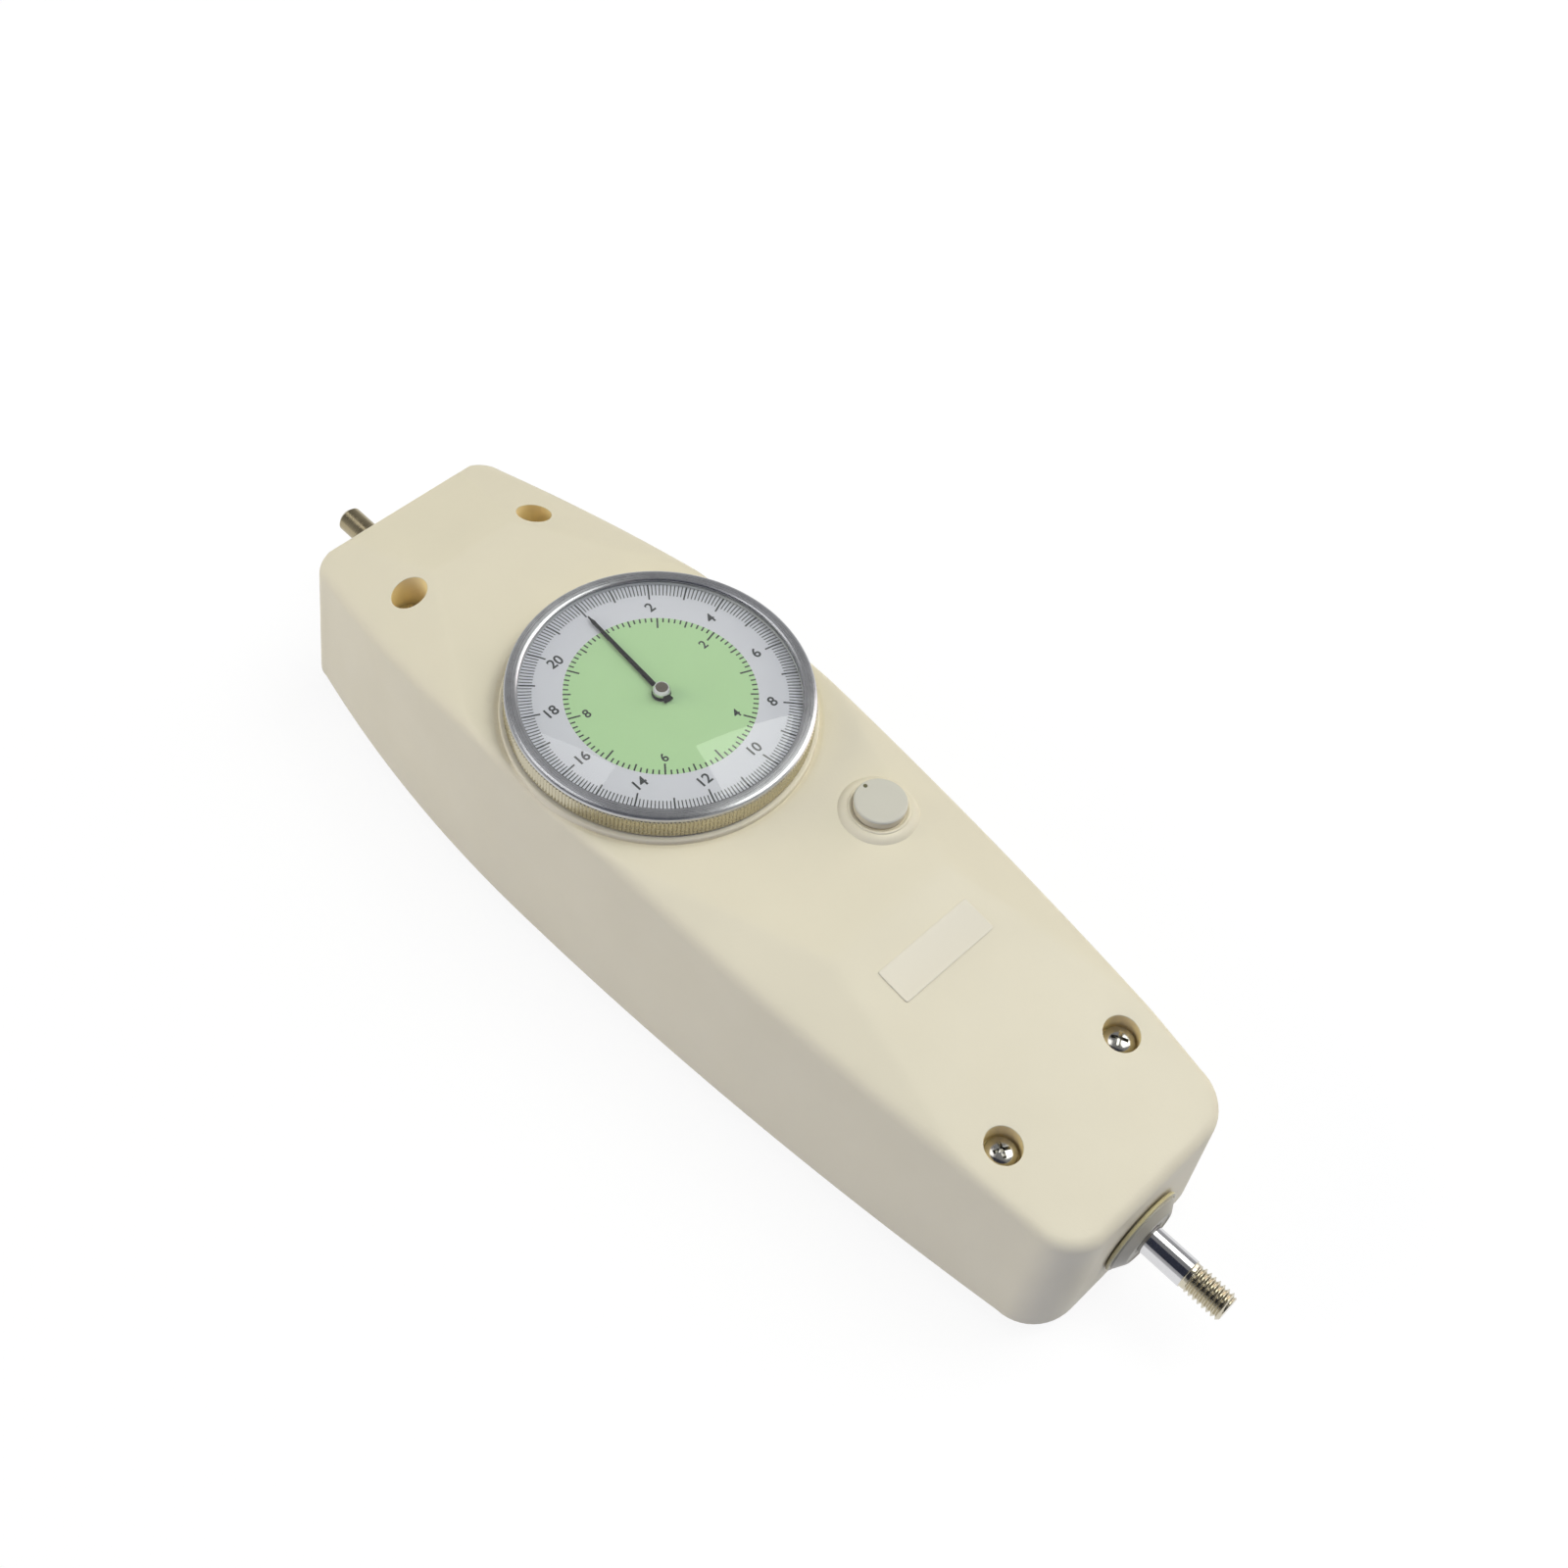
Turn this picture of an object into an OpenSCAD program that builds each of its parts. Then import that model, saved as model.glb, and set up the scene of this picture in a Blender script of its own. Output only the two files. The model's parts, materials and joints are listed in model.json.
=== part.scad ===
// Mechanical push-pull force gauge: a long plastic case with a round dial, a rod through both ends,
// two measuring springs, a rack and gear movement, a turning bezel and a peak-hold knob.
// Millimetres. The back face is at z = 0, the dial axis is the Z axis, and the rod is pushed in from +X.

/* [Case] */
// Dial axis to the front end of the case
case_front = 124; // [116:0.5:132]
// Dial axis to the back end of the case
case_back = 76; // [72:0.5:84]
// How far the case's widest part stands out beside the ring round the dial
ring_margin = 0.5; // [0.3:0.1:3]
// Width of the case at its front end
front_w = 43.2; // [42:0.1:50]
// Width of the case at its back end
back_w = 43.4; // [42:0.1:50]
// How far behind the dial axis the case is widest
widest_back = 2; // [0:0.5:6]
// Corner radius of the front end, seen from above
front_corner_r = 9; // [5:0.5:11]
// Corner radius of the back end, seen from above
back_corner_r = 5; // [3.5:0.5:8]
// How far each side leans out from the fold down to the parting line
side_flare = 2.7; // [0.6:0.1:3]
// How far each end leans out from the fold down to the parting line
end_flare = 0.4; // [0.2:0.1:0.5]
// Wall thickness of the case
wall = 2.5; // [2.2:0.1:2.8]
// Radius of the fold between the top and the sides
fold_r = 2; // [1:0.1:2.3]
// Height of the parting line above the back face
part_z = 5; // [4.8:0.1:6]
// Height of the flat top around the dial
plateau_z = 43.3; // [42.9:0.1:43.6]
// Height of the top at the front end
front_end_z = 33.8; // [32.5:0.1:36]
// Height of the top at the back end
back_end_z = 36.9; // [35:0.1:38.5]
// Dial axis to the front ridge of the flat top
ridge_front_x = 59; // [55:0.5:64]
// Length of the front ridge, across the case
ridge_front_w = 30; // [27:0.5:36]
// Dial axis to the back ridge of the flat top
ridge_back_x = 53; // [50:0.5:58]
// Length of the back ridge, across the case
ridge_back_w = 20.4; // [18:0.2:26]
// Dial axis to where the front facets meet the sides at the flat top
facet_start_x = 14; // [8:0.5:20]
// Dial axis to where the back facets meet the sides at the flat top
facet_back_x = 19; // [14:0.5:24]
// Dial axis to where the front facets run out
facet_end_x = 103; // [97:0.5:110]
// Length of the back end of the back ramp, across the case
ramp_back_w = 29; // [25:0.5:34]

/* [Dial] */
// Height of the dial face above the back face
dial_z = 47.7; // [47.3:0.1:48.5]
// Radius of the dial plate
dial_r = 26.9; // [26.5:0.1:27.2]
// Thickness of the dial plate
dial_t = 0.5; // [0.4:0.1:0.6]
// Thickness of the bezel's band
bezel_band = 1.9; // [1.5:0.1:2.3]
// Height of the bezel's rim above the dial face
bezel_top = 1.9; // [1.7:0.1:2.4]
// How far the bezel reaches below the dial face
bezel_drop = 3.4; // [3.2:0.1:3.5]
// How far the bezel's lip reaches in over the crystal
lip_w = 0.6; // [0.4:0.1:1.2]
// Thickness of the crystal
crystal_t = 0.9; // [0.8:0.05:1]
// Rise of the domed crystal
dome_h = 2.8; // [2.6:0.1:3.4]
// From the pointer's tip to the dial's edge
tip_short = 4.9; // [3.9:0.1:8]
// Angle of the dial's zero at rest, from +X
zero_angle = 175.2; // [150:0.2:210]

/* [Rod] */
// Diameter of the rod
rod_d = 5.8; // [5.4:0.1:6.2]
// Height of the rod's axis above the back face
shaft_z = 16.5; // [16.3:0.1:16.8]
// Dial axis to the tip of the front thread
rod_front = 144.6; // [142:0.2:150]
// Dial axis to the tip of the rear stub
rod_back = 94.3; // [92:0.2:98]
// Length of the front thread
thread_l = 8; // [7:0.2:11]
// How much the rear stub's radius is under the rod's
tail_step = 0.16; // [0.04:0.02:0.4]
// Travel of the rod each way
travel = 10.05; // [9:0.05:10.2]

/* [Collar] */
// Radius of the front collar against the case
collar_r = 9; // [8:0.1:10]
// How far the front collar stands out of the case
collar_l = 2.3; // [2:0.1:5]
// Radius of the collar's nose
nose_r = 6; // [5:0.1:7]

/* [Springs] */
// Diameter of the measuring springs' wire
wire_d = 1.4; // [1:0.1:1.6]
// Mean radius of the measuring springs
coil_r = 5.6; // [5.4:0.1:5.9]
// Curls in each measuring spring
curls = 8; // [5:1:10]

/* [Knob] */
// Dial axis to the knob's axis, along the case
knob_x = 42.8; // [42.5:0.1:43.5]
// Centre line to the knob's axis, across the case
knob_y = 14.3; // [14:0.1:14.8]
// Radius of the knob
knob_r = 5; // [4.8:0.1:5.5]
// Height of the knob's top above the flat top of the case
knob_h = 3.3; // [3.2:0.1:5]

/* [Screws] */
// Dial axis to the front pair of case screws
screw_front_x = 101.5; // [99:0.5:103]
// Dial axis to the back pair of case screws
screw_back_x = 53.2; // [52:0.1:57]
// Centre line to each case screw
screw_y = 15.8; // [15.6:0.1:16.4]
// Radius of the case screws' counterbores
bore_r = 3.5; // [3.3:0.1:3.7]
// Height of the case screws' seats above the back face
seat_z = 32.6; // [28:0.2:32.8]

/* [Stand holes] */
// Spacing of the stand holes along the case
stand_dx = 50; // [46:0.5:54]
// Spacing of the stand holes across the case
stand_dy = 40; // [38:0.5:42]
// Dial axis to the middle of the stand holes
stand_x = 25; // [22:0.5:28]
// Inner radius of the stand inserts
stand_r = 2.1; // [1.6:0.05:2.5]

/* [Hidden] */
$fn = 64;
cut = 0.5;
slice = 0.2;
run_gap = 0.05;
fit_gap = 0.1;
seat_gap = 0.3;
move_gap = 0.5;

// Radii round the dial
cup_r = dial_r + fit_gap;
bezel_bore = cup_r + fit_gap;
bezel_r = bezel_bore + bezel_band;
lip_r = dial_r - lip_w;
ring_over = 0.8;
ring_r = bezel_r + ring_over;
pointer_l = dial_r - tip_short;

rod_r = rod_d / 2;
hull_fn = 24;
inner_fn = 12;
inner_r = 1;

// The case outline, from above
corner_steps = 4;
back_steps = 6;
front_steps = 10;
wide_half = ring_r + ring_margin;
back_bow = wide_half - back_w / 2;
front_bow = wide_half - front_w / 2;
back_run = case_back - widest_back;
front_run = case_front + widest_back;
back_arc_r = (pow(back_run, 2) + pow(back_bow, 2)) / (2 * back_bow);
front_arc_r = (pow(front_run, 2) + pow(front_bow, 2)) / (2 * front_bow);
least_corner = 0.6;

function arc_sag(r, run) = r - sqrt(max(0, pow(r, 2) - pow(run, 2)));
function side_y(x) = wide_half - arc_sag(x < -widest_back ? back_arc_r : front_arc_r, x + widest_back);
function corner(x, y, r, from, to) = [
    for (i = [0:corner_steps])
        let (a = from + (to - from) * i / corner_steps)
        [x + r * cos(a), y + r * sin(a)]
];
function stations(xb, xf) = concat(
    [for (i = [1:back_steps]) xb + (-widest_back - xb) * i / back_steps],
    [for (i = [1:front_steps - 1]) -widest_back + (xf + widest_back) * i / front_steps]
);
function half_outline(d) =
    let (
        rb = max(back_corner_r - d, least_corner),
        rf = max(front_corner_r - d, least_corner),
        xb = -case_back + d + rb,
        xf = case_front - d - rf
    )
    concat(
        corner(xb, side_y(xb) - d - rb, rb, 180, 90),
        [for (x = stations(xb, xf)) [x, side_y(x) - d]],
        corner(xf, side_y(xf) - d - rf, rf, 90, 0)
    );
function mirrored(pts) = [for (i = [len(pts) - 1:-1:0]) [pts[i].x, -pts[i].y]];
function outline(d) = let (h = half_outline(d)) concat(h, mirrored(h));
function flared(pts) = [
    for (p = pts) [p.x + (p.x > 0 ? end_flare : -end_flare), p.y * (1 + side_flare / wide_half)]
];

// The faceted top: a flat, two ramps and four corner facets, whichever is lowest
function facet_z(a, b, c, x, y) =
    let (n = cross(b - a, c - a)) a.z - (n.x * (x - a.x) + n.y * (y - a.y)) / n.z;
front_slope = (plateau_z - front_end_z) / (case_front - ridge_front_x);
back_slope = (plateau_z - back_end_z) / (case_back - ridge_back_x);
function front_ramp_z(x) = plateau_z - front_slope * (x - ridge_front_x);
function back_ramp_z(x) = plateau_z + back_slope * (x + ridge_back_x);
front_corner_a = [ridge_front_x, ridge_front_w / 2, plateau_z];
front_corner_b = [facet_start_x, side_y(facet_start_x), plateau_z];
front_corner_c = [facet_end_x, side_y(facet_end_x), front_ramp_z(facet_end_x)];
back_corner_a = [-ridge_back_x, ridge_back_w / 2, plateau_z];
back_corner_b = [-facet_back_x, side_y(-facet_back_x), plateau_z];
back_corner_c = [-case_back, ramp_back_w / 2, back_end_z];
function top_z(x, y) = min(
    plateau_z,
    front_ramp_z(x),
    back_ramp_z(x),
    facet_z(front_corner_a, front_corner_b, front_corner_c, x, abs(y)),
    facet_z(back_corner_a, back_corner_b, back_corner_c, x, abs(y))
);
function lowest_z(x, y, r) = min([for (sx = [-1, 1], sy = [-1, 1]) top_z(x + sx * r, y + sy * r)]);
function top_points(d) = concat(
    outline(d),
    [for (x = [-facet_back_x, facet_start_x, facet_end_x], s = [-1, 1]) [x, s * (side_y(x) - d)]],
    [for (s = [-1, 1]) [ridge_front_x, s * ridge_front_w / 2]],
    [for (s = [-1, 1]) [-ridge_back_x, s * ridge_back_w / 2]],
    [for (s = [-1, 1]) [-case_back + d, s * ramp_back_w / 2]]
);

// Heights up the middle of the gauge
floor_t = 2.5;
chassis_z = 5;
chassis_t = 2;
chassis_top = chassis_z + chassis_t;
block_over = 4.4;
block_top = shaft_z + block_over;
plate_lift = 0.4;
plate_t = 1.5;
base_z = block_top + plate_lift;
base_top = base_z + plate_t;
rack_lift = 1;
rack_z = base_top + rack_lift;
rack_h = 4;
gear_lift = 1.4;
gear_z = rack_z + rack_h + gear_lift;
gear_t = 1.2;
brake_lift = 1.6;
brake_z = gear_z + gear_t + brake_lift;
brake_t = 1.2;
top_plate_lift = 1.4;
top_plate_z = brake_z + brake_t + top_plate_lift;
top_plate_top = top_plate_z + plate_t;
spiral_lift = 1.2;
spiral_z = top_plate_top + spiral_lift;
spiral_t = 0.6;
cup_wall_h = 7.7;
cup_t = 1.2;
cup_top = dial_z - dial_t - seat_gap;
cup_z = cup_top - cup_wall_h;
pointer_rise = 0.5;
pointer_z = dial_z + pointer_rise;
pointer_t = 0.3;
bezel_lip_t = 0.45;
crystal_edge_t = 0.5;
crystal_edge_z = dial_z + bezel_top - bezel_lip_t - crystal_edge_t - run_gap;
crystal_under_z = crystal_edge_z + crystal_edge_t + dome_h - crystal_t;
hub_gap = 1.1;
hub_top = crystal_under_z - hub_gap;

// Plan places in the movement
rack_module = 0.5;
pinion_teeth = 24;
pinion_r = rack_module * pinion_teeth / 2;
train_module = 0.4;
gear_teeth = 60;
centre_teeth = 16;
gear_r = train_module * gear_teeth / 2;
centre_r = train_module * centre_teeth / 2;
train_d = gear_r + centre_r;
transfer_x = -9;
transfer_y = -sqrt(pow(train_d, 2) - pow(transfer_x, 2));
train_angle = atan2(-transfer_y, -transfer_x);
rack_y = transfer_y + pinion_r;
tooth_play = 0.12;
tip_share = 0.8;
root_share = 1.1;
tip_half_share = 0.13;
root_half_share = 0.1;

// Stations along the rod
block_l = 8;
block_half_w = 10.5;
front_block_x = 100;
middle_block_x = 16;
rear_block_x = -48;
block_starts = [front_block_x, middle_block_x, rear_block_x];
collar_half_l = 3;
spring_collar_x = (front_block_x + middle_block_x + block_l) / 2;
bush_r = 4.4;
bush_flange_r = 6.6;
bush_flange_t = 1;
clamp_x0 = -26;
clamp_l = 12;
stop_t = 1;
stop_r = 4.5;

// Places that carry the movement and the chassis
pillar_r = 2.2;
pillar_spigot_r = 1.5;
pillar_back_x = -27;
pillar_front_x = 18;
pillar_y = 14;
lever_y = 13;
lever_pivot = [pillar_front_x, lever_y];
pillar_spots = [
    [pillar_back_x, pillar_y],
    [pillar_back_x, -pillar_y],
    [pillar_front_x, -pillar_y],
    lever_pivot
];
post_back_x = -35;
post_front_x = 92;
post_y = 8;
chassis_spots = [for (x = [post_back_x, post_front_x], s = [-1, 1]) [x, s * post_y]];
cup_post_d = 15;
cup_post_angles = [90, 210, 330];

case_screw_spots = [
    for (s = [-1, 1]) [screw_front_x, s * screw_y],
    for (s = [-1, 1]) [-screw_back_x, s * screw_y]
];
case_boss_r = 4.7;
cover_boss_r = 4;
joint_z = 14;
screw_r = 1.5;
pilot_r = screw_r + run_gap;
head_r = 2.9;
head_h = 2.2;
cover_boss_top = joint_z - seat_gap;
screw_tip_z = 5;

ring_top = dial_z - bezel_drop - seat_gap;
cup_hole_gap = 0.4;
cup_hole_r = cup_r + cup_hole_gap;
knob_well_r = knob_r + seat_gap;
knob_well_h = 0.6;
knob_boss_rim = 0.6;
knob_boss_r = knob_well_r + knob_boss_rim;
knob_boss_h = 1.2;
spindle_r = 2;
knob_bush_r = 3.4;
knob_bush_h = 4.2;
knob_bush_flange_r = 4.8;

spigot_r = 6.5;
spigot_hole_r = spigot_r + fit_gap;
bush_gap = 0.08;
rod_hole_r = rod_r + bush_gap;

// Plain shapes that the sub-parts share
module tube(ro, ri, h) {
    difference() {
        cylinder(r = ro, h = h);
        translate([0, 0, -cut]) cylinder(r = ri, h = h + 2 * cut);
    }
}
module along_rod(x) {
    translate([x, 0, shaft_z]) rotate([0, 90, 0]) children();
}
slot_w_share = 0.28;
slot_l_share = 1.2;
slot_h_share = 0.5;
head_side_share = 0.55;
head_top_share = 0.72;
module pan_screw(hr, hh, sr, l) {
    slot_w = hr * slot_w_share;
    slot_l = hr * slot_l_share;
    slot_h = hh * slot_h_share;
    side_h = hh * head_side_share;
    difference() {
        union() {
            cylinder(r = hr, h = side_h);
            translate([0, 0, side_h]) cylinder(r1 = hr, r2 = hr * head_top_share, h = hh - side_h);
            translate([0, 0, -l]) cylinder(r = sr, h = l + slice);
        }
        for (a = [0, 90])
            rotate([0, 0, a])
                translate([-slot_l / 2, -slot_w / 2, hh - slot_h]) cube([slot_l, slot_w, slot_h + cut]);
    }
}

// A straight-sided gear outline, with a tooth at angle 0
function gear_points(n, m) = [
    for (i = [0:n - 1], k = [0:3])
        let (
            r = n * m / 2,
            pitch = 360 / n,
            half = pitch / 4 - tooth_play / r * 90 / PI,
            tip = k == 1 || k == 2,
            side = k < 2 ? -1 : 1,
            a = i * pitch + side * (tip ? half - tip_half_share * pitch : half + root_half_share * pitch),
            q = r + (tip ? tip_share : -root_share) * m
        )
        [q * cos(a), q * sin(a)]
];
module gear(n, m, h, hole) {
    difference() {
        linear_extrude(height = h) polygon(gear_points(n, m));
        translate([0, 0, -cut]) cylinder(r = hole, h = h + 2 * cut);
    }
}

module case_solid() {
    hull() {
        translate([0, 0, part_z]) linear_extrude(height = slice) polygon(flared(outline(0)));
        for (p = top_points(fold_r))
            translate([p.x, p.y, top_z(p.x, p.y) - fold_r]) sphere(r = fold_r, $fn = hull_fn);
    }
}
module case_hollow() {
    hull() {
        translate([0, 0, part_z - cut]) linear_extrude(height = slice) polygon(flared(outline(wall)));
        for (p = top_points(wall + inner_r))
            translate([p.x, p.y, top_z(p.x, p.y) - wall - inner_r])
                sphere(r = inner_r, $fn = inner_fn);
    }
}

module front_case() {
    color([0.87, 0.84, 0.75])
    difference() {
        union() {
            difference() {
                case_solid();
                case_hollow();
            }
            for (p = case_screw_spots)
                translate([p.x, p.y, joint_z])
                    cylinder(r = case_boss_r, h = lowest_z(p.x, p.y, case_boss_r) - wall / 3 - joint_z);
            translate([0, 0, plateau_z - wall / 2])
                cylinder(r = ring_r, h = ring_top - plateau_z + wall / 2, $fn = 96);
            translate([knob_x, knob_y, plateau_z - wall / 2])
                cylinder(r = knob_boss_r, h = knob_boss_h + wall / 2);
        }
        for (p = case_screw_spots) {
            translate([p.x, p.y, seat_z]) cylinder(r = bore_r, h = plateau_z);
            translate([p.x, p.y, joint_z - cut]) cylinder(r = screw_r + fit_gap, h = seat_z);
        }
        translate([0, 0, cup_z - move_gap]) cylinder(r = cup_hole_r, h = plateau_z, $fn = 96);
        translate([knob_x, knob_y, plateau_z + knob_boss_h - knob_well_h])
            cylinder(r = knob_well_r, h = plateau_z);
        translate([knob_x, knob_y, plateau_z - 2 * wall]) cylinder(r = knob_bush_r + run_gap, h = plateau_z);
        along_rod(case_front - 2 * wall) cylinder(r = spigot_hole_r, h = 4 * wall);
        along_rod(-case_back - 2 * wall) cylinder(r = spigot_hole_r, h = 4 * wall);
    }
}

// The back cover: a shallow tray with a lip inside the case
cover_inset = 0.4;
cover_foot_inset = 3.4;
lip_gap = 0.35;
lip_t = 1.6;
lip_h = 4;
post_r = 3.2;
chassis_screw_r = 1.2;
stand_boss_r = 4.2;
insert_r = 3.4;
insert_h = 3.8;
module back_cover() {
    color([0.85, 0.82, 0.73])
    difference() {
        union() {
            difference() {
                hull() {
                    translate([0, 0, part_z - seat_gap - slice])
                        linear_extrude(height = slice) polygon(flared(outline(cover_inset)));
                    linear_extrude(height = slice) polygon(flared(outline(cover_foot_inset)));
                }
                translate([0, 0, floor_t])
                    linear_extrude(height = part_z) polygon(flared(outline(cover_foot_inset + lip_t)));
            }
            translate([0, 0, floor_t])
                difference() {
                    linear_extrude(height = part_z - floor_t + lip_h)
                        polygon(flared(outline(wall + lip_gap)));
                    translate([0, 0, -cut])
                        linear_extrude(height = part_z + lip_h)
                            polygon(flared(outline(wall + lip_gap + lip_t)));
                }
            for (p = case_screw_spots)
                translate([p.x, p.y, floor_t / 2])
                    cylinder(r = cover_boss_r, h = cover_boss_top - floor_t / 2);
            for (p = chassis_spots)
                translate([p.x, p.y, floor_t / 2]) cylinder(r = post_r, h = chassis_z - floor_t / 2);
            for (sx = [-1, 1], sy = [-1, 1])
                translate([stand_x + sx * stand_dx / 2, sy * stand_dy / 2, floor_t / 2])
                    cylinder(r = stand_boss_r, h = chassis_z - seat_gap - floor_t / 2);
        }
        for (p = case_screw_spots)
            translate([p.x, p.y, screw_tip_z - move_gap]) cylinder(r = pilot_r, h = joint_z);
        for (p = chassis_spots)
            translate([p.x, p.y, floor_t / 2]) cylinder(r = chassis_screw_r + run_gap, h = joint_z);
        for (sx = [-1, 1], sy = [-1, 1])
            translate([stand_x + sx * stand_dx / 2, sy * stand_dy / 2, -cut])
                cylinder(r = insert_r, h = insert_h + cut + run_gap);
    }
}
module stand_inserts() {
    color([0.8, 0.65, 0.35])
    for (sx = [-1, 1], sy = [-1, 1])
        translate([stand_x + sx * stand_dx / 2, sy * stand_dy / 2, 0])
            tube(insert_r - run_gap, stand_r, insert_h);
}
module case_screws() {
    color([0.78, 0.78, 0.8])
    for (p = case_screw_spots)
        translate([p.x, p.y, seat_z + run_gap]) pan_screw(head_r, head_h, screw_r, seat_z - screw_tip_z);
}

label_l = 22.8;
label_w = 7.4;
label_x = 69.4;
label_y = 1.3;
label_t = 0.2;
module label_plate() {
    color([0.92, 0.9, 0.84])
    translate([label_x, label_y, front_ramp_z(label_x) + run_gap])
        rotate([0, atan(front_slope), 0])
            translate([-label_w / 2, -label_l / 2, 0]) cube([label_w, label_l, label_t]);
}

// Collar and bushes that close the two ends
collar_rim_t = 1;
bush_collar_gap = 0.1;
rear_flange_r = 7.6;
rear_flange_t = 1;
spigot_over = 1.2;
spigot_l = wall + end_flare + spigot_over;
module front_bush() {
    color([0.86, 0.84, 0.74])
    along_rod(case_front + end_flare + bush_collar_gap)
        difference() {
            union() {
                translate([0, 0, -spigot_l]) cylinder(r = spigot_r, h = spigot_l + slice);
                cylinder(r = collar_r, h = collar_rim_t);
                translate([0, 0, collar_rim_t])
                    cylinder(r1 = collar_r, r2 = nose_r, h = collar_l - collar_rim_t);
            }
            translate([0, 0, -spigot_l - cut])
                cylinder(r = rod_hole_r, h = spigot_l + collar_l + 2 * cut);
        }
}
module rear_bush() {
    color([0.86, 0.84, 0.74])
    along_rod(-case_back - end_flare - bush_collar_gap)
        mirror([0, 0, 1])
            difference() {
                union() {
                    translate([0, 0, -spigot_l]) cylinder(r = spigot_r, h = spigot_l + slice);
                    cylinder(r1 = rear_flange_r, r2 = nose_r, h = rear_flange_t);
                }
                translate([0, 0, -spigot_l - cut])
                    cylinder(r = rod_hole_r, h = spigot_l + rear_flange_t + 2 * cut);
            }
}

// Chassis: a steel plate on four posts, with three guide blocks
chassis_back = -50;
chassis_front = 110;
chassis_half_w = 10.8;
wide_back = -33;
wide_front = 30;
wide_w = 18;
block_screw_y = 7.4;
module chassis_plate() {
    color([0.62, 0.64, 0.66])
    difference() {
        union() {
            translate([chassis_back, -chassis_half_w, chassis_z])
                cube([chassis_front - chassis_back, 2 * chassis_half_w, chassis_t]);
            translate([wide_back, -wide_w, chassis_z])
                cube([wide_front - wide_back, 2 * wide_w, chassis_t]);
        }
        for (p = chassis_spots)
            translate([p.x, p.y, chassis_z - cut])
                cylinder(r = chassis_screw_r + fit_gap, h = chassis_t + 2 * cut);
        for (x = block_starts, s = [-1, 1])
            translate([x + block_l / 2, s * block_screw_y, chassis_z - cut])
                cylinder(r = chassis_screw_r + fit_gap, h = chassis_t + 2 * cut);
        for (p = pillar_spots)
            translate([p.x, p.y, chassis_z - cut])
                cylinder(r = pillar_spigot_r + run_gap, h = chassis_t + 2 * cut);
    }
}
module chassis_screws() {
    chassis_head_r = 2.2;
    chassis_head_h = 1.5;
    color([0.7, 0.7, 0.72])
    for (p = chassis_spots)
        translate([p.x, p.y, chassis_top + run_gap])
            pan_screw(chassis_head_r, chassis_head_h, chassis_screw_r, chassis_top - floor_t);
}
block_screw_l = 6;
module block_screws() {
    block_head_r = 2.2;
    block_head_h = 1.5;
    color([0.7, 0.7, 0.72])
    for (x = block_starts, s = [-1, 1])
        translate([x + block_l / 2, s * block_screw_y, chassis_z - run_gap])
            mirror([0, 0, 1]) pan_screw(block_head_r, block_head_h, chassis_screw_r, block_screw_l);
}
module guide_block(x) {
    color([0.72, 0.74, 0.77])
    difference() {
        translate([x, -block_half_w, chassis_top])
            cube([block_l, 2 * block_half_w, block_top - chassis_top]);
        along_rod(x - cut) cylinder(r = bush_r + run_gap, h = block_l + 2 * cut);
        for (s = [-1, 1])
            translate([x + block_l / 2, s * block_screw_y, chassis_top - cut])
                cylinder(r = chassis_screw_r + run_gap, h = block_screw_l);
    }
}
module front_guide_block() {
    guide_block(front_block_x);
}
module middle_guide_block() {
    guide_block(middle_block_x);
}
module rear_guide_block() {
    guide_block(rear_block_x);
}
module guide_bushes() {
    bushed = block_l - slice;
    color([0.72, 0.5, 0.28])
    for (x = block_starts)
        along_rod(x + (x < spring_collar_x ? block_l : 0))
            mirror([0, 0, x < spring_collar_x ? 1 : 0])
                difference() {
                    union() {
                        cylinder(r = bush_r, h = bushed);
                        translate([0, 0, -bush_flange_t - run_gap])
                            cylinder(r = bush_flange_r, h = bush_flange_t);
                        translate([0, 0, -run_gap - slice]) cylinder(r = bush_r, h = 2 * slice);
                    }
                    translate([0, 0, -bush_flange_t - cut])
                        cylinder(r = rod_hole_r, h = block_l + bush_flange_t + 2 * cut);
                }
}

// The rod and what rides on it
module main_rod() {
    tip_chamfer = 0.7;
    thread_relief = 0.25;
    relief_l = 0.8;
    smooth_l = rod_front - thread_l + rod_back - tip_chamfer;
    tail_r = rod_r - tail_step;
    tail_l = rod_back - case_back - end_flare - bush_collar_gap - rear_flange_t - seat_gap;
    color([0.8, 0.8, 0.82])
    along_rod(-rod_back) {
        cylinder(r1 = tail_r - tip_chamfer, r2 = tail_r, h = tip_chamfer);
        translate([0, 0, tip_chamfer]) cylinder(r = tail_r, h = tail_l);
        translate([0, 0, tail_l]) cylinder(r = rod_r, h = tip_chamfer + smooth_l - relief_l - tail_l);
        translate([0, 0, tip_chamfer + smooth_l - relief_l - slice])
            cylinder(r = rod_r - thread_relief, h = relief_l + 2 * slice);
        translate([0, 0, tip_chamfer + smooth_l]) cylinder(r = rod_r, h = thread_l - tip_chamfer);
        translate([0, 0, smooth_l + thread_l]) cylinder(r1 = rod_r, r2 = rod_r - tip_chamfer, h = tip_chamfer);
    }
}
spring_seat_r = 7.4;
spring_seat_t = 2;
hub_r = 4.4;
module spring_collar() {
    color([0.75, 0.62, 0.36])
    difference() {
        along_rod(spring_collar_x - collar_half_l)
            difference() {
                union() {
                    cylinder(r = hub_r, h = 2 * collar_half_l);
                    translate([0, 0, collar_half_l - spring_seat_t / 2])
                        cylinder(r = spring_seat_r, h = spring_seat_t);
                }
                translate([0, 0, -cut]) cylinder(r = rod_r + run_gap, h = 2 * collar_half_l + 2 * cut);
            }
        translate([spring_collar_x, 0, shaft_z])
            cylinder(r = pin_r + run_gap, h = spring_seat_r + cut);
    }
}
pin_r = 0.8;
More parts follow.
